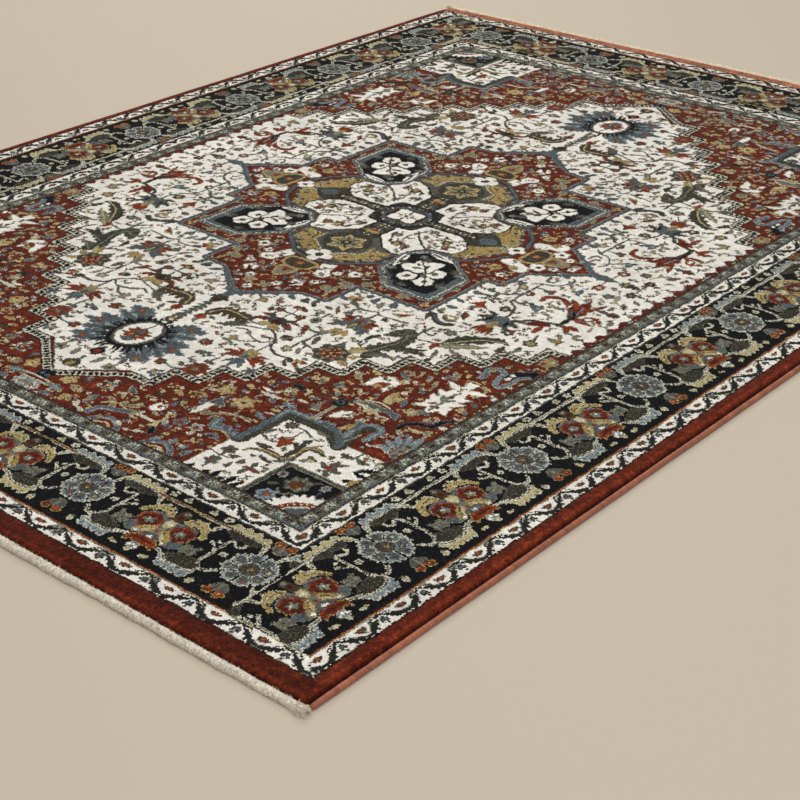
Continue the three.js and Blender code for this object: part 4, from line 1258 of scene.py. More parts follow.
    # Grey-green clusters and blue arches along the end of the field
    for x, y, reach in ((150, 818, -22), (158, 812, 2), (166, 808, 20), (156, 828, -10), (172, 822, 26)):
        pen.leaf("sage", complex(x, y + 8), complex(x + reach, y - 8), 13, 0, 3)
    pen.line("straw", 3, (132 + 830j, 152 + 818j, 184 + 826j))
    pen.line("slate", 11, (138 + 862j, 142 + 844j, 162 + 834j, 180 + 826j))
    pen.line("sky", 4, (140 + 858j, 146 + 844j, 162 + 836j))
    pen.leaf("slate", 112 + 818j, 116 + 842j, 8)
    pen.disc("sage", 108, 830, 5)
    for x, y in ((180, 868), (284, 868)):
        for side in (1, -1):
            pen.line("slate", 9, (complex(x, y - 14), complex(x + 16 * side, y - 8),
                                  complex(x + 26 * side, y + 4)))
        pen.line("sky", 3, (complex(x - 18, y - 4), complex(x, y - 12), complex(x + 18, y - 4)))
        pen.line("straw", 4, (complex(x - 14, y + 6), complex(x, y), complex(x + 14, y + 6)))
    for x, y in ((262, 850), (286, 838), (308, 842), (322, 848)):
        pen.leaf("slate", complex(x, y + 14), complex(x + 3, y - 6), 12, 0, 2)
        pen.leaf("sky", complex(x, y + 10), complex(x + 2, y - 2), 4)
    for x, y, angle in ((108, 856, 40), (124, 862, 20), (216, 864, -30), (232, 858, -30), (112, 848, 80),
                        (196, 852, 60)):
        pen.leaf("cream", complex(x - 8, y), complex(x, y) + 12 * bearing(angle), 6)
    pen.leaf("gold", 76 + 848j, 84 + 868j, 10, 0, 2)
    pen.leaf("sage", 86 + 852j, 94 + 862j, 8)
    # Next to the end border, in the middle
    pen = pen.at(-2.5, 1)
    pen.leaf("slate", 40 + 842j, 68 + 844j, 17, 0, 2, 0.15)
    pen.leaf("sky", 44 + 842j, 64 + 844j, 7)
    pen.leaf("sage", 30 + 843j, 46 + 843j, 13)
    pen.line("cream", 3, (9.6 + 838j, 32 + 838j), False)
    pen.line("cream", 3, (9.6 + 846j, 32 + 846j), False)
    pen.leaf("olive", 2 + 828j, 26 + 822j, 12)
    pen.petals("gold", 5, 15, 11, 49, 814)
    pen.petals("straw", 5, 9, 6, 49, 814, 36)
    pen.disc("brick", 49, 814, 3)
    pen.leaf("sage", 64 + 822j, 84 + 834j, 9)
    pen.petals("sky", 6, 17, 12, 20, 862, 0)
    pen.petals("cream", 6, 13, 5, 20, 862, 30)
    pen.leaf("slate", 44 + 866j, 66 + 866j, 9)
    pen.disc("sage", 14, 862, 6)
    pen.leaf("brick", 84 + 800j, 96 + 812j, 8)


def draw_spandrel(pen):
    """The ivory corner with its slate band and the dark quarter in it."""
    pen = pen.at(-7, -6)
    pen.fill("ivory", (338 + 900j, 338 + 785j, 352 + 785j, 352 + 686j, 430 + 686j, 455 + 712j, 470 + 697j,
                       560 + 697j, 560 + 900j))
    pen.line("olive", 23, (349 + 776j, 349 + 684j), False)
    pen.line("olive", 22, (350 + 682j, 404 + 680j, 432 + 684j, 452 + 698j, 462 + 706j), False)
    pen.line("slate", 12, (344 + 776j, 344 + 674j), False)
    pen.line("slate", 11, (342 + 673j, 404 + 671j, 432 + 675j, 456 + 694j), False)
    pen.line("sky", 4, (344 + 700j, 344 + 672j, 404 + 670j), False)
    for x in (408, 418):
        pen.leaf("slate", complex(x, 676), complex(x - 2, 658), 10)
    # The slate hook above the band
    hook = (462 + 706j, 452 + 680j, 448 + 650j, 456 + 634j, 470 + 630j, 480 + 642j, 478 + 668j)
    pen.line("olive", 16, (466 + 700j, 460 + 676j, 456 + 652j, 466 + 640j))
    pen.line("slate", 12, hook)
    pen.line("sky", 5, hook[1:])
    pen.leaf("slate", 448 + 656j, 434 + 622j, 12, 0, 2)
    pen.leaf("gold", 434 + 668j, 440 + 640j, 10)
    pen.leaf("straw", 428 + 670j, 436 + 656j, 8)
    pen.line("sage", 4, (460 + 692j, 464 + 660j), False)
    # Ivory part
    pen.line("smoke", 3, (374 + 701j, 400 + 702j, 400 + 736j), False)
    pen.line("smoke", 3, (400 + 702j, 418 + 710j), False)
    pen.petals("olive", 8, 12, 7, 376, 702)
    pen.disc("slate", 376, 702, 6)
    pen.disc("brick", 376, 702, 3.5)
    pen.leaf("sage", 410 + 690j, 440 + 694j, 9, 0.1, 2)
    pen.leaf("smoke", 370 + 720j, 366 + 744j, 10, 0.2, 2)
    pen.line("smoke", 4, (362 + 748j, 384 + 754j, 394 + 750j))
    pen.leaf("brick", 402 + 760j, 398 + 724j, 22, 0, 4, 0.3)
    pen.leaf("brick", 400 + 752j, 414 + 734j, 10, 0, 2)
    pen.leaf("brick", 398 + 748j, 386 + 732j, 10)
    pen.leaf("sage", 396 + 738j, 402 + 724j, 5)
    pen.line("olive", 9, (424 + 722j, 426 + 742j, 428 + 772j))
    pen.leaf("olive", 426 + 748j, 410 + 734j, 9)
    pen.leaf("smoke", 410 + 752j, 418 + 766j, 8)
    pen.leaf("olive", 372 + 770j, 404 + 768j, 9, 0, 2)
    pen.line("olive", 5, (386 + 774j, 430 + 776j), False)
    pen.line("gold", 5, (436 + 776j, 434 + 742j, 440 + 728j, 446 + 720j))
    pen.line("olive", 4, (440 + 774j, 438 + 746j, 444 + 736j, 466 + 738j))
    pen.leaf("gold", 442 + 730j, 466 + 736j, 7, -0.1)
    pen.line("gold", 5, (374 + 796j, 380 + 786j, 400 + 778j, 436 + 779j))
    pen.line("olive", 3, (378 + 788j, 400 + 781j, 436 + 783j))
    pen.leaf("smoke", 450 + 750j, 470 + 756j, 10, 0.1)
    pen.leaf("sage", 448 + 770j, 462 + 756j, 9)
    pen.disc("straw", 462, 760, 4)
    # Grey maple leaf with a rust heart, the buds, dark spikes
    for base, tip, wide in ((494 + 770j, 492 + 734j, 18), (492 + 762j, 470 + 748j, 11),
                            (496 + 762j, 514 + 756j, 11), (494 + 748j, 508 + 734j, 9),
                            (496 + 766j, 504 + 778j, 12), (490 + 768j, 482 + 774j, 10)):
        pen.leaf("smoke", base, tip, wide, 0, 2)
    pen.leaf("brick", 491 + 768j, 491 + 748j, 7)
    pen.leaf("gold", 491 + 766j, 491 + 758j, 3)
    pen.line("smoke", 2.6, (500 + 698j, 501 + 716j, 524 + 716j), False)
    for x in (488, 516):
        pen.leaf("smoke", complex(x - 10, 718), complex(x + 12, 718), 14, 0, 3, 0.3)
        pen.disc("bark", x, 717, 4)
    pen.leaf("navy", 546 + 722j, 524 + 740j, 13, 0, 3, 0.3)
    pen.leaf("navy", 546 + 748j, 520 + 742j, 12, 0, 2)
    pen.leaf("navy", 544 + 764j, 522 + 770j, 12, 0, 2)
    pen.leaf("olive", 546 + 700j, 532 + 704j, 9)
    pen.leaf("gold", 538 + 776j, 544 + 752j, 10)
    pen.line("smoke", 3, (338 + 824j, 372 + 825j, 382 + 818j), False)
    for x, y in ((361, 808), (361, 842)):
        for k in range(5):
            tip = complex(x, y) + 13 * bearing(72 * k + 18)
            pen.leaf("smoke", complex(x, y), tip, 10)
        pen.disc("bark", x, y, 4)
    pen.disc("brick", 360, 844, 3)
    pen.leaf("smoke", 368 + 820j, 386 + 812j, 7)
    pen.line("smoke", 3, (362 + 820j, 364 + 862j), False)
    pen.leaf("smoke", 390 + 796j, 398 + 800j, 7)
    pen.leaf("olive", 398 + 790j, 434 + 798j, 9, 0.1, 2)
    pen.leaf("slate", 424 + 794j, 446 + 768j, 9, 0, 2)
    for base, tip, wide in ((388 + 848j, 384 + 826j, 9), (388 + 828j, 402 + 818j, 12),
                            (404 + 828j, 436 + 826j, 14), (414 + 824j, 412 + 806j, 10),
                            (412 + 832j, 412 + 848j, 9), (392 + 826j, 396 + 812j, 8)):
        pen.leaf("smoke", base, tip, wide, 0, 2)
    pen.leaf("brick", 404 + 827j, 436 + 828j, 6)
    for x, tall in ((376, 16), (388, 26), (402, 14), (414, 30), (428, 24), (440, 12), (348, 14)):
        pen.leaf("navy", complex(x, 884), complex(x + 4, 878 - tall), 11)
    pen.line("navy", 12, (352 + 882j, 376 + 888j, 440 + 880j))
    pen.leaf("gold", 408 + 876j, 432 + 872j, 8, 0.2)
    # The dark quarter in the corner
    pen.fill("sage", (440 + 900j, 440 + 778j, 560 + 778j, 560 + 900j))
    pen.line("olive", 4, (446 + 900j, 446 + 783j, 560 + 783j), False)
    pen.fill("navy", (449 + 900j, 449 + 788j, 560 + 788j, 560 + 900j))
    for x, y, size in ((524, 800, 9), (457, 808, 9)):
        pen.petals("sky", 6, size, 6, x, y)
        pen.disc("brick", x, y, size * 0.45)
    pen.disc("gold", 524, 800, 2)
    pen.petals("smoke", 7, 21, 15, 490, 815, 10)
    pen.petals("sage", 7, 20, 5, 490, 815, 10)
    pen.disc("bark", 490, 816, 11)
    pen.leaf("brick", 480 + 812j, 498 + 824j, 5)
    pen.disc("gold", 497, 822, 3)
    pen.line("sage", 3, (476 + 838j, 488 + 846j, 500 + 836j))
    pen.petals("sky", 6, 16, 12, 475, 860)
    pen.petals("slate", 6, 11, 6, 475, 860)
    pen.disc("brick", 476, 860, 4.5)
    pen.line("smoke", 3, (524 + 812j, 526 + 824j), False)
    pen.leaf("smoke", 456 + 838j, 470 + 828j, 8)
    pen.leaf("smoke", 504 + 800j, 512 + 792j, 7)
    # The fan of ivory petals round the corner
    corner = 549 + 884j
    for k in range(9):
        turn = bearing(179 + 11.6 * k)
        pen.leaf("ivory", corner + 38 * turn, corner + 67 * turn, 14)
    for radius, yarn in ((54, "ivory"), (47, "brick"), (38, "cream"), (34, "slate"), (20, "smoke")):
        pen.disc(yarn, corner.real, corner.imag, radius)
    for k in range(9):
        turn = bearing(179 + 11.6 * k)
        pen.disc("cream", (corner + 42 * turn).real, (corner + 42 * turn).imag, 1.6)


def scatter(pen, ground, tries, room, mixes):
    """Small sprigs wherever there is still room on a ground, each in one of some mixes of three yarns."""
    height, width = pen.sheet.shape
    for _ in range(tries):
        row, column = rng.integers(0, height), rng.integers(0, width)
        angle, size = rng.uniform(0, 360), rng.uniform(0.55, 0.95)
        mix = mixes[rng.integers(len(mixes))]
        reach = round(room * size / TUFT)
        near = pen.sheet[max(row - reach, 0) : row + reach, max(column - reach, 0) : column + reach]
        if (near == NUMBERS[ground]).mean() > 0.97:
            pen.sprig((column + 0.5) * TUFT, (row + 0.5) * TUFT, angle, size, *mix)


def draw_field():
    """One quarter of everything inside the borders, on its own sheet."""
    sheet = new_sheet(FIELD.real + 8, FIELD.imag + 8, "rust")
    pen = Pen(sheet, TUFT)
    draw_rust_flowers(pen)
    draw_spandrel(pen)
    draw_ground(pen)
    draw_star(pen)
    draw_heart(pen)
    draw_side_flowers(pen)
    draw_middle_flowers(pen)
    draw_end_flowers(pen)
    scatter(pen, "rust", 16000, 9, (("sage", "straw", "wine"), ("slate", "gold", "wine"),
                                    ("olive", "slate", "navy"), ("gold", "brick", "olive"),
                                    ("slate", "sky", "navy"), ("olive", "cream", "wine"),
                                    ("wine", "gold", "navy"), ("bark", "straw", "wine"),
                                    ("sage", "cream", "bark")))
    scatter(pen, "ivory", 9000, 12, (("olive", "clay", "smoke"), ("smoke", "gold", "smoke"),
                                     ("bark", "clay", "umber"), ("slate", "brick", "smoke"),
                                     ("sage", "gold", "olive"), ("umber", "gold", "bark")))
    outline(sheet, "rust", (("slate", "sky"), ("gold", "straw"), ("sage", "straw"), ("sky", "cream"),
                            ("navy", "slate"), ("olive", "ink"), ("smoke", "olive"), ("ivory", "cream")))
    return sheet


# Where the rust rim begins, from the centre of the rug
RIM = 772 + 1103j
SHEETS = {"field": draw_field(), "side": draw_border("cream"), "end": draw_border("brick"),
          "guard": draw_guard(), "minor": draw_minor()}
# Each stripe's width, then its repeat and shift along the sides and along the ends
BANDS = (("guard", GUARD_WIDTH, 36, 7, 38, 0),
         ("border", BORDER_WIDTH, SIDE_REPEAT, SIDE_REPEAT / 2, END_REPEAT, END_REPEAT / 2),
         ("guard", 28.5, 36.5, -20, 37.8, -42),
         ("minor", MINOR_WIDTH, 18.75, 3, 18.75, 12))
CORNER_JOINT = 612  # past here the long sides' border runs on through the corners
BOW_SIDES, BOW_ENDS = 10, 12  # how far the woven lines bow in the middle of the rug
OUTLINE = 1.5  # the dark line round the outer guard


def weave_design(x, y):
    """The yarn of every tuft of the pile, from its place on the rug."""
    across = abs(x - BOW_SIDES * (1 - (x / RIM.real) ** 2))
    along = abs(y + BOW_ENDS * (1 - (y / RIM.imag) ** 2))
    side = across - RIM.real > along - RIM.imag
    inward = np.where(side, RIM.real - across, RIM.imag - along)
    run = np.where(side, along, across)
    yarns = look_up(SHEETS["field"], across, along)
    start = 0
    for name, width, side_repeat, side_shift, end_repeat, end_shift in BANDS:
        here = (inward >= start) & (inward < start + width)
        depth = start + width - inward
        repeat = np.where(side, side_repeat, end_repeat)
        place = folded(run + np.where(side, side_shift, end_shift), repeat) / repeat
        if name == "border":
            # The long sides' stripe runs through the corner, and the short ends' stops against it
            through = here & (across > CORNER_JOINT)
            depth = np.where(through, start + width - (RIM.real - across), depth)
            place = np.where(through, folded(along + side_shift, side_repeat) / side_repeat, place)
            found = np.where(side | through, look_up(SHEETS["side"], place * SIDE_REPEAT, depth),
                             look_up(SHEETS["end"], place * SIDE_REPEAT, depth))
        elif name == "guard":
            found = look_up(SHEETS["guard"], place * GUARD_REPEAT / 2, depth)
        else:
            found = look_up(SHEETS["minor"], place * MINOR_REPEAT / 2, depth)
        yarns = np.where(here, found, yarns)
        start += width
    yarns = np.where(inward < 0, NUMBERS["rust"], yarns)
    yarns = np.where((inward < OUTLINE) & (inward > -1), NUMBERS["navy"], yarns)
    return yarns


# ---- Materials ----
def new_material(name, roughness):
    """A principled material without specular gloss, and its node tree."""
    material = bpy.data.materials.new(name)
    material.use_nodes = True
    shader = material.node_tree.nodes["Principled BSDF"]
    shader.inputs["Roughness"].default_value = roughness
    shader.inputs["Specular IOR Level"].default_value = 0.06
    return material, material.node_tree, shader


def add_node(tree, kind, **settings):
    """A shader node with its sockets and properties set by name."""
    node = tree.nodes.new("ShaderNode" + kind)
    for key, value in settings.items():
        if key in node.inputs:
            node.inputs[key].default_value = value
        else:
            setattr(node, key, value)
    return node


def shade_colour(tree, shader, colour_socket, noise_scales, depth):
    """Multiplies a colour by noise of several sizes: [scale, darkest, lightest] for each."""
    place = add_node(tree, "TexCoord")
    for scale, darkest, lightest in noise_scales:
        noise = add_node(tree, "TexNoise", Scale=scale, Detail=2.0)
        tree.links.new(place.outputs["Object"], noise.inputs["Vector"])
        spread = add_node(tree, "MapRange")
        spread.inputs["From Min"].default_value = 0.3
        spread.inputs["From Max"].default_value = 0.7
        spread.inputs["To Min"].default_value = darkest
        spread.inputs["To Max"].default_value = lightest
        tree.links.new(noise.outputs["Fac"], spread.inputs["Value"])
        mix = add_node(tree, "VectorMath", operation="SCALE")
        tree.links.new(colour_socket, mix.inputs[0])
        tree.links.new(spread.outputs["Result"], mix.inputs["Scale"])
        colour_socket = mix.outputs["Vector"]
    tree.links.new(colour_socket, shader.inputs["Base Color"])
    if depth:
        grain = add_node(tree, "TexNoise", Scale=noise_scales[0][0], Detail=3.0)
        tree.links.new(place.outputs["Object"], grain.inputs["Vector"])
        bump = add_node(tree, "Bump", Strength=0.6, Distance=depth)
        tree.links.new(grain.outputs["Fac"], bump.inputs["Height"])
        tree.links.new(bump.outputs["Normal"], shader.inputs["Normal"])


def spun_material(name, roughness, noise_scales, depth, **settings):
    """Yarn whose colour is stored face by face, broken up by its fibres."""
    material, tree, shader = new_material(name, roughness)
    for socket, value in settings.items():
        shader.inputs[socket.replace("_", " ")].default_value = value
    yarn = add_node(tree, "Attribute", attribute_name="yarn")
    shade_colour(tree, shader, yarn.outputs["Color"], noise_scales, depth)
    return material


def yarn_material(name, colour, roughness, sheen):
    """Yarn of one colour, broken up by its fibres."""
    material, tree, shader = new_material(name, roughness)
    shader.inputs["Sheen Weight"].default_value = sheen
    plain = add_node(tree, "RGB")
    plain.outputs[0].default_value = (*linear(colour), 1)
    scales = ((2200, 0.75, 1.2), (120, 0.85, 1.12), (9, 0.94, 1.05))
    shade_colour(tree, shader, plain.outputs[0], scales, 0.0004)
    return material


def linear(colour):
    """Linear light from an 8-bit sRGB colour."""
    share = np.asarray(colour, float) / 255
    return np.where(share <= 0.04045, share / 12.92, ((share + 0.055) / 1.055) ** 2.4)


# ---- Meshes ----
def make_object(name, points, faces, material, colours=None):
    """A mesh from arrays, with one colour for each face if there are any."""
    mesh = bpy.data.meshes.new(name)
    points, faces = np.asarray(points, np.float32), np.asarray(faces, np.int32)
    mesh.vertices.add(len(points))
    mesh.vertices.foreach_set("co", points.ravel())
    mesh.loops.add(faces.size)
    mesh.loops.foreach_set("vertex_index", faces.ravel())
    mesh.polygons.add(len(faces))
    mesh.polygons.foreach_set("loop_start", np.arange(0, faces.size, faces.shape[1], dtype=np.int32))
    mesh.polygons.foreach_set("use_smooth", np.ones(len(faces), bool))
    mesh.update(calc_edges=True)
    if colours is not None:
        data = mesh.attributes.new("yarn", "FLOAT_COLOR", "FACE")
        colours = np.hstack([colours, np.ones((len(faces), 1))])
        data.data.foreach_set("color", colours.astype(np.float32).ravel())
    mesh.materials.append(material)
    piece = bpy.data.objects.new(name, mesh)
    bpy.context.scene.collection.objects.link(piece)
    return piece


def lay_flat_uv(piece):
    """A map seen from above, so that the colours of the pile bake without waste."""
    mesh = piece.data
    count = len(mesh.loops)
    corners = np.empty(count, np.int32)
    mesh.loops.foreach_get("vertex_index", corners)
    points = np.empty(len(mesh.vertices) * 3, np.float32)
    mesh.vertices.foreach_get("co", points)
    flat = points.reshape(-1, 3)[corners, :2]
    low, high = flat.min(axis=0), flat.max(axis=0)
    layer = mesh.uv_layers.new(name="OFBake")
    layer.data.foreach_set("uv", (0.01 + 0.98 * (flat - low) / (high - low).max()).ravel())


def ripple(x, y, scale, seed):
    """Smooth unevenness between -1 and 1 over places given in metres."""
    waves = np.random.default_rng(seed)
    total = 0 * x
    for _ in range(7):
        angle = waves.uniform(0, 2 * np.pi)
        size = waves.uniform(0.6, 1.6)
        phase = waves.uniform(0, 2 * np.pi)
        total = total + np.sin((x * math.cos(angle) + y * math.sin(angle)) * size / scale + phase)
    return total / 4


# ---- Pile ----
def zone_map():
    """Which pile node each tuft belongs to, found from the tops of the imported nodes."""
    zones = np.full((rows, columns), -1, np.int16)
    for number, name in enumerate(pile_nodes):
        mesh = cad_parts[name].data
        mesh.calc_loop_triangles()
        points = np.empty(len(mesh.vertices) * 3)
        mesh.vertices.foreach_get("co", points)
        points = points.reshape(-1, 3)
        triangles = np.empty(len(mesh.loop_triangles) * 3, int)
        mesh.loop_triangles.foreach_get("vertices", triangles)
        for corner in points[triangles.reshape(-1, 3)]:
            if corner[:, 2].min() < pile_high[2] - 1e-5:
                continue
            c0, c1 = np.searchsorted(mid_x, (corner[:, 0].min(), corner[:, 0].max()))
            r0, r1 = np.searchsorted(mid_y, (corner[:, 1].min(), corner[:, 1].max()))
            x, y = mid_x[None, c0:c1], mid_y[r0:r1, None]
            inside = np.ones((r1 - r0, c1 - c0), bool)
            first, second = corner[1] - corner[0], corner[2] - corner[0]
            area = first[0] * second[1] - first[1] * second[0]
            for a, b in ((0, 1), (1, 2), (2, 0)):
                side = (corner[b, 0] - corner[a, 0]) * (y - corner[a, 1])
                side = side - (corner[b, 1] - corner[a, 1]) * (x - corner[a, 0])
                inside &= side * np.sign(area) >= -1e-9
            zones[r0:r1, c0:c1][inside] = number
    while (zones < 0).any():
        for shift, axis in BESIDE:
            near = np.roll(zones, shift, axis)
            zones = np.where(zones < 0, near, zones)
    return zones


def clumps(shape, passes):
    """Smooth random patches with a spread of one, larger with more passes."""
    field = rng.standard_normal(shape)
    for _ in range(passes):
        field = (field + np.roll(field, 1, 0) + np.roll(field, -1, 0)
                 + np.roll(field, 1, 1) + np.roll(field, -1, 1)) / 5
    return field / field.std()


NAP_SHEEN_PAINTED = (226, 170, 132)  # painted sheen: the sunlit side of the rust nap, blended into the rust at the far end
BESIDE = ((1, 0), (-1, 0), (1, 1), (-1, 1))  # shift and axis towards the four tufts beside one
LEAN = 0.0022  # m, how far a tuft can lean out at the short ends
EDGE_DROP, EDGE_REACH = 0.0038, 0.007  # m, how the pile rounds off along the edges of the rug
SIDE_LEVELS = 4  # rows of points down the sides of a zone


def tuft_colours():
    """The colour of every tuft: its yarn, flecked, blurred at the figures' edges and uneven, with painted
    shade and painted sheen at the ends and a painted highlight and painted shade along the edges.
    """
    x, y = np.meshgrid(mid_x / MM, mid_y / MM)
    wander_x = ripple(x * MM, y * MM, 0.004, 11) + rng.normal(0, 0.55, x.shape)
    wander_y = ripple(x * MM, y * MM, 0.004, 12) + rng.normal(0, 0.55, x.shape)
    palette = linear(np.array(list(YARNS.values())))
    yarns = weave_design(x + wander_x, y + wander_y)
    # Figures on the light ground are edged with dark tufts here and there
    light = yarns == NUMBERS["ivory"]
    beside = np.zeros(light.shape, bool)
    figure = beside.copy()
    for shift, axis in BESIDE:
        beside |= np.roll(light, shift, axis)
        figure |= np.roll(~light, shift, axis)
    patch = ripple(x * MM, y * MM, 0.006, 13)
    edge = (~light & beside & (patch > -0.45)) | (light & figure & (patch > 0.3))
    drawn = yarns.copy()
    chance = rng.random(x.shape)
    used = np.zeros(len(YARNS))
    for yarn, other, share in FLECKS:
        start = used[NUMBERS[yarn]]
        drawn[(yarns == NUMBERS[yarn]) & (chance >= start) & (chance < start + share)] = NUMBERS[other]
        used[NUMBERS[yarn]] = start + share
    colours = 0.45 * palette[yarns] + 0.55 * palette[drawn]
    colours[edge] = 0.35 * colours[edge] + 0.65 * palette[NUMBERS["olive"]]
    tone = np.exp(np.where(light, 0.045, 0.18) * rng.standard_normal(x.shape))
    tone = tone * (1 + 0.07 * ripple(x * MM, y * MM, 0.0035, 14))
    tone = tone * (1 + 0.05 * ripple(x * MM, y * MM, 0.03, 15))
    tone = tone * (1 + 0.03 * rng.standard_normal(x.shape[0]))[:, None]
    # The rust pile lies this way and that, in random clumps of tone. At the front end painted shade darkens
    # the rust, and at the far end a painted sheen lightens it and blends in the nap's sunlit colour
    red = (yarns == NUMBERS["rust"]) | (yarns == NUMBERS["brick"])
    tone = tone * np.where(red, np.exp(0.2 * clumps(x.shape, 2) + 0.12 * clumps(x.shape, 24)), 1)
    painted_sheen_behind = red & (y > RIM.imag)
    tone = tone * np.where(red & (y < -RIM.imag), 0.68, 1) * np.where(painted_sheen_behind, 1.4, 1)
    colours[painted_sheen_behind] = 0.82 * colours[painted_sheen_behind] + 0.18 * linear(NAP_SHEEN_PAINTED)
    # Along the edges of the rug the tufts are seen from their brighter sides: a painted highlight on the
    # rounded shoulder, and painted shade on the outermost tufts
    inset = np.minimum(pile_high[0] - abs(x * MM), pile_high[1] - abs(y * MM))
    tone = tone * (1 + 0.6 * np.clip(1 - abs(inset - 0.005) / 0.005, 0, 1))
    tone = tone * np.where(inset < 0.0016, 0.7, 1)
    tint = 1 + 0.03 * rng.standard_normal((*x.shape, 3))
    return np.clip(colours * tone[..., None] * tint, 0.002, 0.95)


pile_nodes = [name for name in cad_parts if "_pile" in name]
lows, highs = zip(*(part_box(name) for name in pile_nodes))
pile_low, pile_high = np.min(lows, axis=0), np.max(highs, axis=0)
columns = round((pile_high[0] - pile_low[0]) / (TUFT * MM))
rows = round((pile_high[1] - pile_low[1]) / (TUFT * MM))
edge_x = np.linspace(pile_low[0], pile_high[0], columns + 1)
edge_y = np.linspace(pile_low[1], pile_high[1], rows + 1)
mid_x = (edge_x[:-1] + edge_x[1:]) / 2
mid_y = (edge_y[:-1] + edge_y[1:]) / 2

zones = zone_map()
colours = tuft_colours()
X, Y = np.meshgrid(edge_x, edge_y)
Z = pile_high[2] - 0.0005 + 0.0005 * ripple(X, Y, 0.05, 21) + 0.0009 * (rng.random(X.shape) - 0.5)
# The pile rounds off towards the edges of the rug, in slight ribs
inset = np.minimum(pile_high[0] - abs(X), 1.15 * (pile_high[1] - abs(Y)))
ribs = 1 + 0.15 * ripple(X, Y, 0.003, 22)
Z -= EDGE_DROP * ribs * np.clip(1 - inset / EDGE_REACH, 0, 1) ** 2.2
jitter = 0.0004 * (rng.random((2, *X.shape)) - 0.5)
inner = np.s_[1:-1, 1:-1]
X[inner] += jitter[0][inner]
Y[inner] += jitter[1][inner]
# Tufts at the short ends lean out over the bands, each its own way
lean = LEAN * rng.random(X.shape) * np.clip(1 - (pile_high[1] - abs(Y)) / 0.004, 0, 1)
Y += np.sign(Y) * lean
number = np.arange(X.size).reshape(X.shape)
cut_pile = spun_material("cut_pile", 0.95, ((1500, 0.7, 1.25), (260, 0.9, 1.1), (5, 0.94, 1.06)), 0.0007,
                         Sheen_Weight=0.02, Sheen_Roughness=0.6)
for n, name in enumerate(pile_nodes):
    row, column = np.nonzero(zones == n)
    quads = np.stack([number[row, column], number[row, column + 1], number[row + 1, column + 1],
                      number[row + 1, column]], 1)
    used, quads = np.unique(quads, return_inverse=True)
    quads = quads.reshape(-1, 4)
    points = np.stack([X.ravel()[used], Y.ravel()[used], Z.ravel()[used]], 1)
    # Sides of the pile, down to the ground weave, wherever the zone ends
    edges = np.concatenate([quads[:, [k, (k + 1) % 4]] for k in range(4)])
    owner = np.tile(np.arange(len(quads)), 4)
    keys = np.sort(edges, axis=1)
    keys = keys[:, 0] * len(points) + keys[:, 1]
    _, first, uses = np.unique(keys, return_index=True, return_counts=True)
    border = first[uses == 1]
    rim_points, rim_edges = np.unique(edges[border], return_inverse=True)
    rim_edges = rim_edges.reshape(-1, 2)
    stack = [rim_points]
    extra = []
    for level in range(1, SIDE_LEVELS):
        share = 1 - level / (SIDE_LEVELS - 1)
        layer = points[rim_points].copy()
        layer[:, 2] = pile_low[2] + (layer[:, 2] - pile_low[2]) * share
        layer[:, :2] += 0.0005 * (rng.random((len(layer), 2)) - 0.5)
        stack.append(len(points) + sum(len(e) for e in extra) + np.arange(len(layer)))
        extra.append(layer)
    sides, side_owner = [], []
    for upper, lower in zip(stack[:-1], stack[1:]):
        sides.append(np.stack([upper[rim_edges[:, 1]], upper[rim_edges[:, 0]], lower[rim_edges[:, 0]],
                               lower[rim_edges[:, 1]]], 1))
        side_owner.append(owner[border])
    points = np.concatenate([points, *extra])
    faces = np.concatenate([quads, *sides])
    face_colours = colours[row, column][np.concatenate([np.arange(len(quads)), *side_owner])]
    # Painted shade: the sides of the pile are darker than its top
    face_colours[len(quads):] *= 0.8
    points = np.clip(points, pile_low - (0, LEAN, 0), pile_high + (0, LEAN, 0))
    piece = make_object(name.replace("_pile", "_tufts"), points, faces, cut_pile, face_colours)
    lay_flat_uv(piece)
    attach(piece, "root")
    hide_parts(name)


# ---- Ground weave ----
WEAVE_STEP = 4  # mm between two points of the weave
JUTE = (150, 128, 96)


def ground_weave():
    """Woven backing: coarse yarns that pass over and under each other, best seen from below."""
    low, high = (np.array(v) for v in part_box("ground_weave"))
    steps = [2 * round((high[k] - low[k]) / (2 * WEAVE_STEP * MM)) for k in (0, 1)]
    x, y = np.meshgrid(*(np.linspace(low[k], high[k], steps[k] + 1) for k in (0, 1)))
    column, row = np.meshgrid(np.arange(steps[0] + 1), np.arange(steps[1] + 1))
    raised = (column % 2) * (row % 2) * (0.5 + 0.5 * ((column // 2 + row // 2) % 2))
    index = np.arange(x.size).reshape(x.shape)
    lid = index + x.size
    below = np.stack([index[:-1, :-1], index[1:, :-1], index[1:, 1:], index[:-1, 1:]], -1).reshape(-1, 4)
    above = (below + x.size)[:, ::-1]
    loop, lid_loop = (np.concatenate([k[0, :-1], k[:-1, -1], k[-1, :0:-1], k[:0:-1, 0]])
                      for k in (index, lid))
    sides = np.stack([loop, np.roll(loop, -1), np.roll(lid_loop, -1), lid_loop], 1)
    heights = (low[2] + 0.0007 * (1 - raised), high[2] + 0 * x)
    points = np.concatenate([np.stack([x, y, z], -1).reshape(-1, 3) for z in heights])
    jute = yarn_material("jute_weave", JUTE, 0.95, 0.1)
    return make_object("ground_weave_cloth", points, np.concatenate([below, above, sides]), jute)


# ---- Long sides ----
SERGING_RUST = (158, 88, 58)
COTTON = (206, 196, 172)


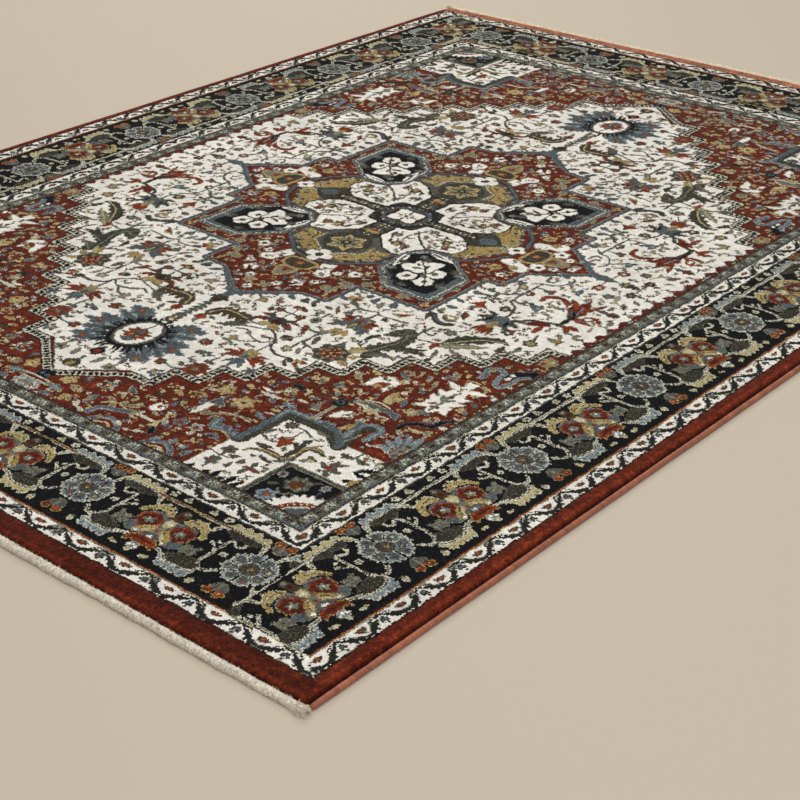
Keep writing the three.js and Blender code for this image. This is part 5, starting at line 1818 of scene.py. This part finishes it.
def wound_tube(name, centre, radius, hollow, half_length, pitch, depth, material, colour):
    """Yarn wound round a line along Y, turn by turn, as a tube with closed ends."""
    across = 18
    count = round(2 * half_length / (pitch / 4))
    along = np.linspace(-half_length, half_length, count + 1)
    turn = 2 * np.pi * np.arange(across) / across
    place = along[:, None] + pitch * turn[None, :] / (2 * np.pi)
    wraps = np.floor(place / pitch).astype(int)
    wraps -= wraps.min()
    size = 1 + 0.035 * rng.standard_normal(wraps.max() + 2)
    groove = np.abs(np.sin(np.pi * place / pitch)) ** 0.7
    ends = np.clip((half_length - abs(along)) / 0.012, 0, 1)[:, None] ** 0.5 * 0.45 + 0.55
    reach = np.minimum((radius - depth) * size[wraps] + depth * groove, radius) * ends
    drift = 0.0003 * ripple(along, 0 * along, 0.05, 31)[:, None]
    points = np.stack([centre[0] + drift + reach * np.cos(turn), along[:, None] + 0 * reach,
                       centre[1] - radius * (1 - ends) * 0.6 + reach * np.sin(turn)], -1).reshape(-1, 3)
    index = np.arange((count + 1) * across).reshape(count + 1, across)
    after = np.roll(index, -1, axis=1)
    faces = [np.stack([index[:-1], after[:-1], after[1:], index[1:]], -1).reshape(-1, 4)]
    # Each wrap has its own tone; painted shade darkens the grooves between the wraps and a painted highlight
    # lightens their crowns
    tone = 1 + 0.12 * rng.standard_normal(wraps.max() + 2)
    tones = (tone[wraps] * (0.6 + 0.6 * groove))[:-1].ravel()
    ring = np.stack([centre[0] + hollow * np.cos(turn), 0 * turn, centre[1] + hollow * np.sin(turn)], -1)
    inner = [ring + (0, y, 0) for y in (-half_length, half_length)]
    start = len(points)
    near, far = start + np.arange(across), start + across + np.arange(across)
    faces.append(np.stack([near, np.roll(near, -1), after[0], index[0]], 1))
    faces.append(np.stack([index[-1], after[-1], np.roll(far, -1), far], 1))
    faces.append(np.stack([np.roll(near, -1), near, far, np.roll(far, -1)], 1))
    faces = np.concatenate(faces)
    # Painted shade on the tube's end rings and its hollow inside
    shades = np.concatenate([tones, np.full(len(faces) - len(tones), 0.7)])
    points = np.concatenate([points, *inner])
    return make_object(name, points, faces, material, linear(colour) * shades[:, None])


# ---- Short ends ----
LOOSE = 16000  # fibres that stand off a band
END_LOOSE = 700  # of them at each of its ends
# The far band's cream is paler: painted light, as if lit from behind through its fibres
FRONT_CREAM, BACKLIT_CREAM_PAINTED = (224, 214, 196), (248, 230, 206)


def end_band(name, node, front, material):
    """A fuzzy roll of cream yarn over the cut end of the weave, with loose fibres all over it."""
    low, high = (np.array(v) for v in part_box(node))
    depth, tall = high[1] - low[1], high[2] - low[2]
    half = high[0] - 0.003
    section = np.array([(0.30, 0), (0.12, 0.04), (0, 0.2), (-0.02, 0.45), (0.08, 0.72), (0.28, 0.9),
                        (0.52, 0.97), (0.78, 0.9), (0.97, 0.74), (1, 0.5), (0.98, 0.27), (0.6, 0.265),
                        (0.34, 0.26), (0.33, 0.1)])
    count = round(2 * half / 0.0015)
    x = np.linspace(-half, half, count + 1)
    wave = 0.0008 * ripple(x, 0 * x, 0.03, 41 + front) + 0.0006 * ripple(x, 0 * x, 0.008, 43 + front)
    swell = 1 + 0.05 * ripple(x, 0 * x, 0.015, 45 + front)
    ends = np.clip((half - abs(x)) / 0.006, 0, 1) ** 0.5
    middle = np.array([0.5, 0.45])
    spread = middle + (section - middle) * (swell * (0.4 + 0.6 * ends))[:, None, None]
    rough = 0.0012 * (rng.random(spread.shape) - 0.5)
    into = depth * spread[..., 0] + rough[..., 0] + wave[:, None]
    # The far band stands a little higher, so that its cream shows beyond the pile
    fluff = 1 if front else 1.45
    up = np.clip(fluff * tall * spread[..., 1] + rough[..., 1], 0.0001, fluff * tall + 0.0005)
    edge = low[1] if front else high[1]
    toward = 1 if front else -1
    points = np.stack([x[:, None] + 0 * into, edge + toward * into, low[2] + up], -1)
    sides = len(section)
    index = np.arange((count + 1) * sides).reshape(count + 1, sides)
    after = np.roll(index, -1, axis=1)
    faces = np.stack([index[:-1], index[1:], after[1:], after[:-1]], -1).reshape(-1, 4)
    if front:
        faces = faces[:, ::-1]
    grid = points
    points = grid.reshape(-1, 3)
    tones = 1 + 0.16 * rng.standard_normal(len(faces))
    caps = []
    for ring in (index[0], index[-1]):
        for k in range(1, sides // 2):
            caps.append([ring[k - 1], ring[k], ring[-k - 1], ring[-k]])
    # Loose fibres
    at = rng.integers(0, count, LOOSE)
    at[:END_LOOSE] = count - rng.integers(0, 10, END_LOOSE)
    at[END_LOOSE : 2 * END_LOOSE] = rng.integers(0, 10, END_LOOSE)
    slot = rng.integers(1, 10, LOOSE)
    root = grid[at, slot]
    centre = np.stack([x[at], edge + toward * depth * 0.5 + 0 * x[at], low[2] + tall * 0.45 + 0 * x[at]],
                      -1)
    out = root - centre
    out /= np.linalg.norm(out, axis=1)[:, None] + 1e-9
    out += rng.normal(0, 0.6, out.shape)
    out[:END_LOOSE, 0] += 2.2
    out[END_LOOSE : 2 * END_LOOSE, 0] -= 2.2
    out /= np.linalg.norm(out, axis=1)[:, None]
    length = rng.uniform(0.0012, 0.0032, LOOSE)
    length[: 2 * END_LOOSE] *= rng.uniform(1.0, 3.2, 2 * END_LOOSE)
    if not front:
        out[:, 2] = abs(out[:, 2]) + 0.5
        length *= 1.5
    side = np.cross(out, rng.normal(0, 1, out.shape))
    side *= 0.00016 / (np.linalg.norm(side, axis=1)[:, None] + 1e-9)
    droop = np.array([0, 0, -0.25])
    middle_point = root + out * length[:, None] * 0.5
    tip = root + (out + droop) * length[:, None]
    strands = np.stack([root - side, root + side, middle_point + side, middle_point - side,
                        tip + side * 0.4, tip - side * 0.4], 1).reshape(-1, 3)
    strands[:, 2] = np.clip(strands[:, 2], 0.0002, low[2] + tall + (0.002 if front else 0.006))
    base = len(points) + 6 * np.arange(LOOSE)
    strips = np.concatenate([np.stack([base, base + 1, base + 2, base + 3], 1),
                             np.stack([base + 3, base + 2, base + 4, base + 5], 1)])
    # The far band takes the paler cream of painted backlight
    cream = linear(FRONT_CREAM if front else BACKLIT_CREAM_PAINTED)
    all_faces = np.concatenate([faces, caps, strips])
    strand_tones = np.tile(1.12 + 0.12 * rng.standard_normal(LOOSE), 2)
    shades = np.concatenate([tones, np.ones(len(caps)), strand_tones])
    colours = np.clip(cream * shades[:, None], 0.02, 0.95)
    return make_object(name, np.concatenate([points, strands]), all_faces, material, colours)


weave = ground_weave()
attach(weave, "root")
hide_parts("ground_weave")

serging_yarn = spun_material("serging_yarn", 0.55, ((2500, 0.8, 1.15), (40, 0.85, 1.15)), 0.0003,
                             Specular_IOR_Level=0.4, Sheen_Weight=0.15)
cord_cotton = yarn_material("cord_cotton", COTTON, 0.9, 0.1)
fuzz = spun_material("cream_fuzz", 0.95, ((900, 0.75, 1.15), (150, 0.85, 1.1)), 0.0006, Sheen_Weight=0.3)
for side in ("left", "right"):
    for node, title, slot in (("side_serging_" + side, "_yarn", "serging_yarn"),
                              ("selvedge_cord_" + side, "_twist", "selvedge_cord")):
        low, high = (np.array(v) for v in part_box(node))
        centre = ((low[0] + high[0]) / 2, (low[2] + high[2]) / 2)
        radius, half = (high[0] - low[0]) / 2, (high[1] - low[1]) / 2
        if slot == "serging_yarn":
            piece = wound_tube(node + title, centre, radius, radius - 1.3 * MM, half - 1 * MM, 3.0 * MM,
                               0.8 * MM, serging_yarn, SERGING_RUST)
        else:
            piece = wound_tube(node + title, centre, radius, 0.0004, half, 6 * MM, 0.5 * MM, cord_cotton,
                               COTTON)
        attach(piece, "root")
        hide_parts(node)
for front in (True, False):
    node = "end_band_front" if front else "end_band_back"
    piece = end_band(node + "_fuzz", node, front, fuzz)
    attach(piece, "root")
    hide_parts(node)

# ---- Stage ----
FLOOR_REACH = 30  # m from the middle of the rug
FLOOR_COLOUR = (196, 184, 166)
CAMERA_PLACE = (1.7551, -2.1866, 1.1128)
CAMERA_HEADING, CAMERA_DIP = -41.62, 27.69  # degrees from the Y axis and below the horizon
SENSOR, LENS, SHIFT = 36, 77.1, 0.0925  # mm, mm, and a share of the picture's width
WORLD_COLOUR, WORLD_STRENGTH = (0.98, 0.99, 1.0, 1), 0.43
# name, place, target, size in m, power in W, colour
LIGHTS = (("window", (-2.6, 2.4, 3.0), (0, 0, 0), 1.6, 72, (1.0, 0.98, 0.95)),
          ("ceiling", (0.6, -0.4, 3.6), (0, 0, 0), 3.0, 61, (1.0, 0.99, 0.97)),
          ("fill", (2.6, -2.2, 1.8), (0.3, -0.5, 0), 2.0, 19, (1.0, 0.98, 0.96)))

floor_mesh = bpy.data.meshes.new("floor")
corners = [(x * FLOOR_REACH, y * FLOOR_REACH, 0) for x, y in ((-1, -1), (1, -1), (1, 1), (-1, 1))]
floor_mesh.from_pydata(corners, [], [(0, 1, 2, 3)])
floor_material, _, floor_shader = new_material("pale_floor", 0.7)
floor_shader.inputs["Base Color"].default_value = (*linear(FLOOR_COLOUR), 1)
floor_mesh.materials.append(floor_material)
floor = bpy.data.objects.new("floor", floor_mesh)
bpy.context.scene.collection.objects.link(floor)
floor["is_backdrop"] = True

camera_data = bpy.data.cameras.new("camera")
camera = bpy.data.objects.new("camera", camera_data)
bpy.context.scene.collection.objects.link(camera)
bpy.context.scene.camera = camera
camera_data.sensor_width = SENSOR
camera_data.lens = LENS
camera_data.shift_x = SHIFT
camera.location = CAMERA_PLACE
heading, dip = math.radians(CAMERA_HEADING), math.radians(CAMERA_DIP)
forward = Vector((math.sin(heading) * math.cos(dip), math.cos(heading) * math.cos(dip), -math.sin(dip)))
camera.rotation_mode = "QUATERNION"
camera.rotation_quaternion = forward.to_track_quat("-Z", "Y")


def area_light(name, place, target, size, energy, colour):
    """A round lamp that faces its target."""
    data = bpy.data.lights.new(name, "AREA")
    data.shape = "DISK"
    data.size = size
    data.energy = energy
    data.color = colour
    lamp = bpy.data.objects.new(name, data)
    lamp.location = place
    lamp.rotation_mode = "QUATERNION"
    lamp.rotation_quaternion = (Vector(target) - Vector(place)).to_track_quat("-Z", "Y")
    bpy.context.scene.collection.objects.link(lamp)


for light in LIGHTS:
    area_light(*light)
world = bpy.data.worlds.new("world")
bpy.context.scene.world = world
world.use_nodes = True
background = world.node_tree.nodes["Background"]
background.inputs["Color"].default_value = WORLD_COLOUR
background.inputs["Strength"].default_value = WORLD_STRENGTH
bpy.context.scene.view_settings.view_transform = "Standard"

low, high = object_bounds()
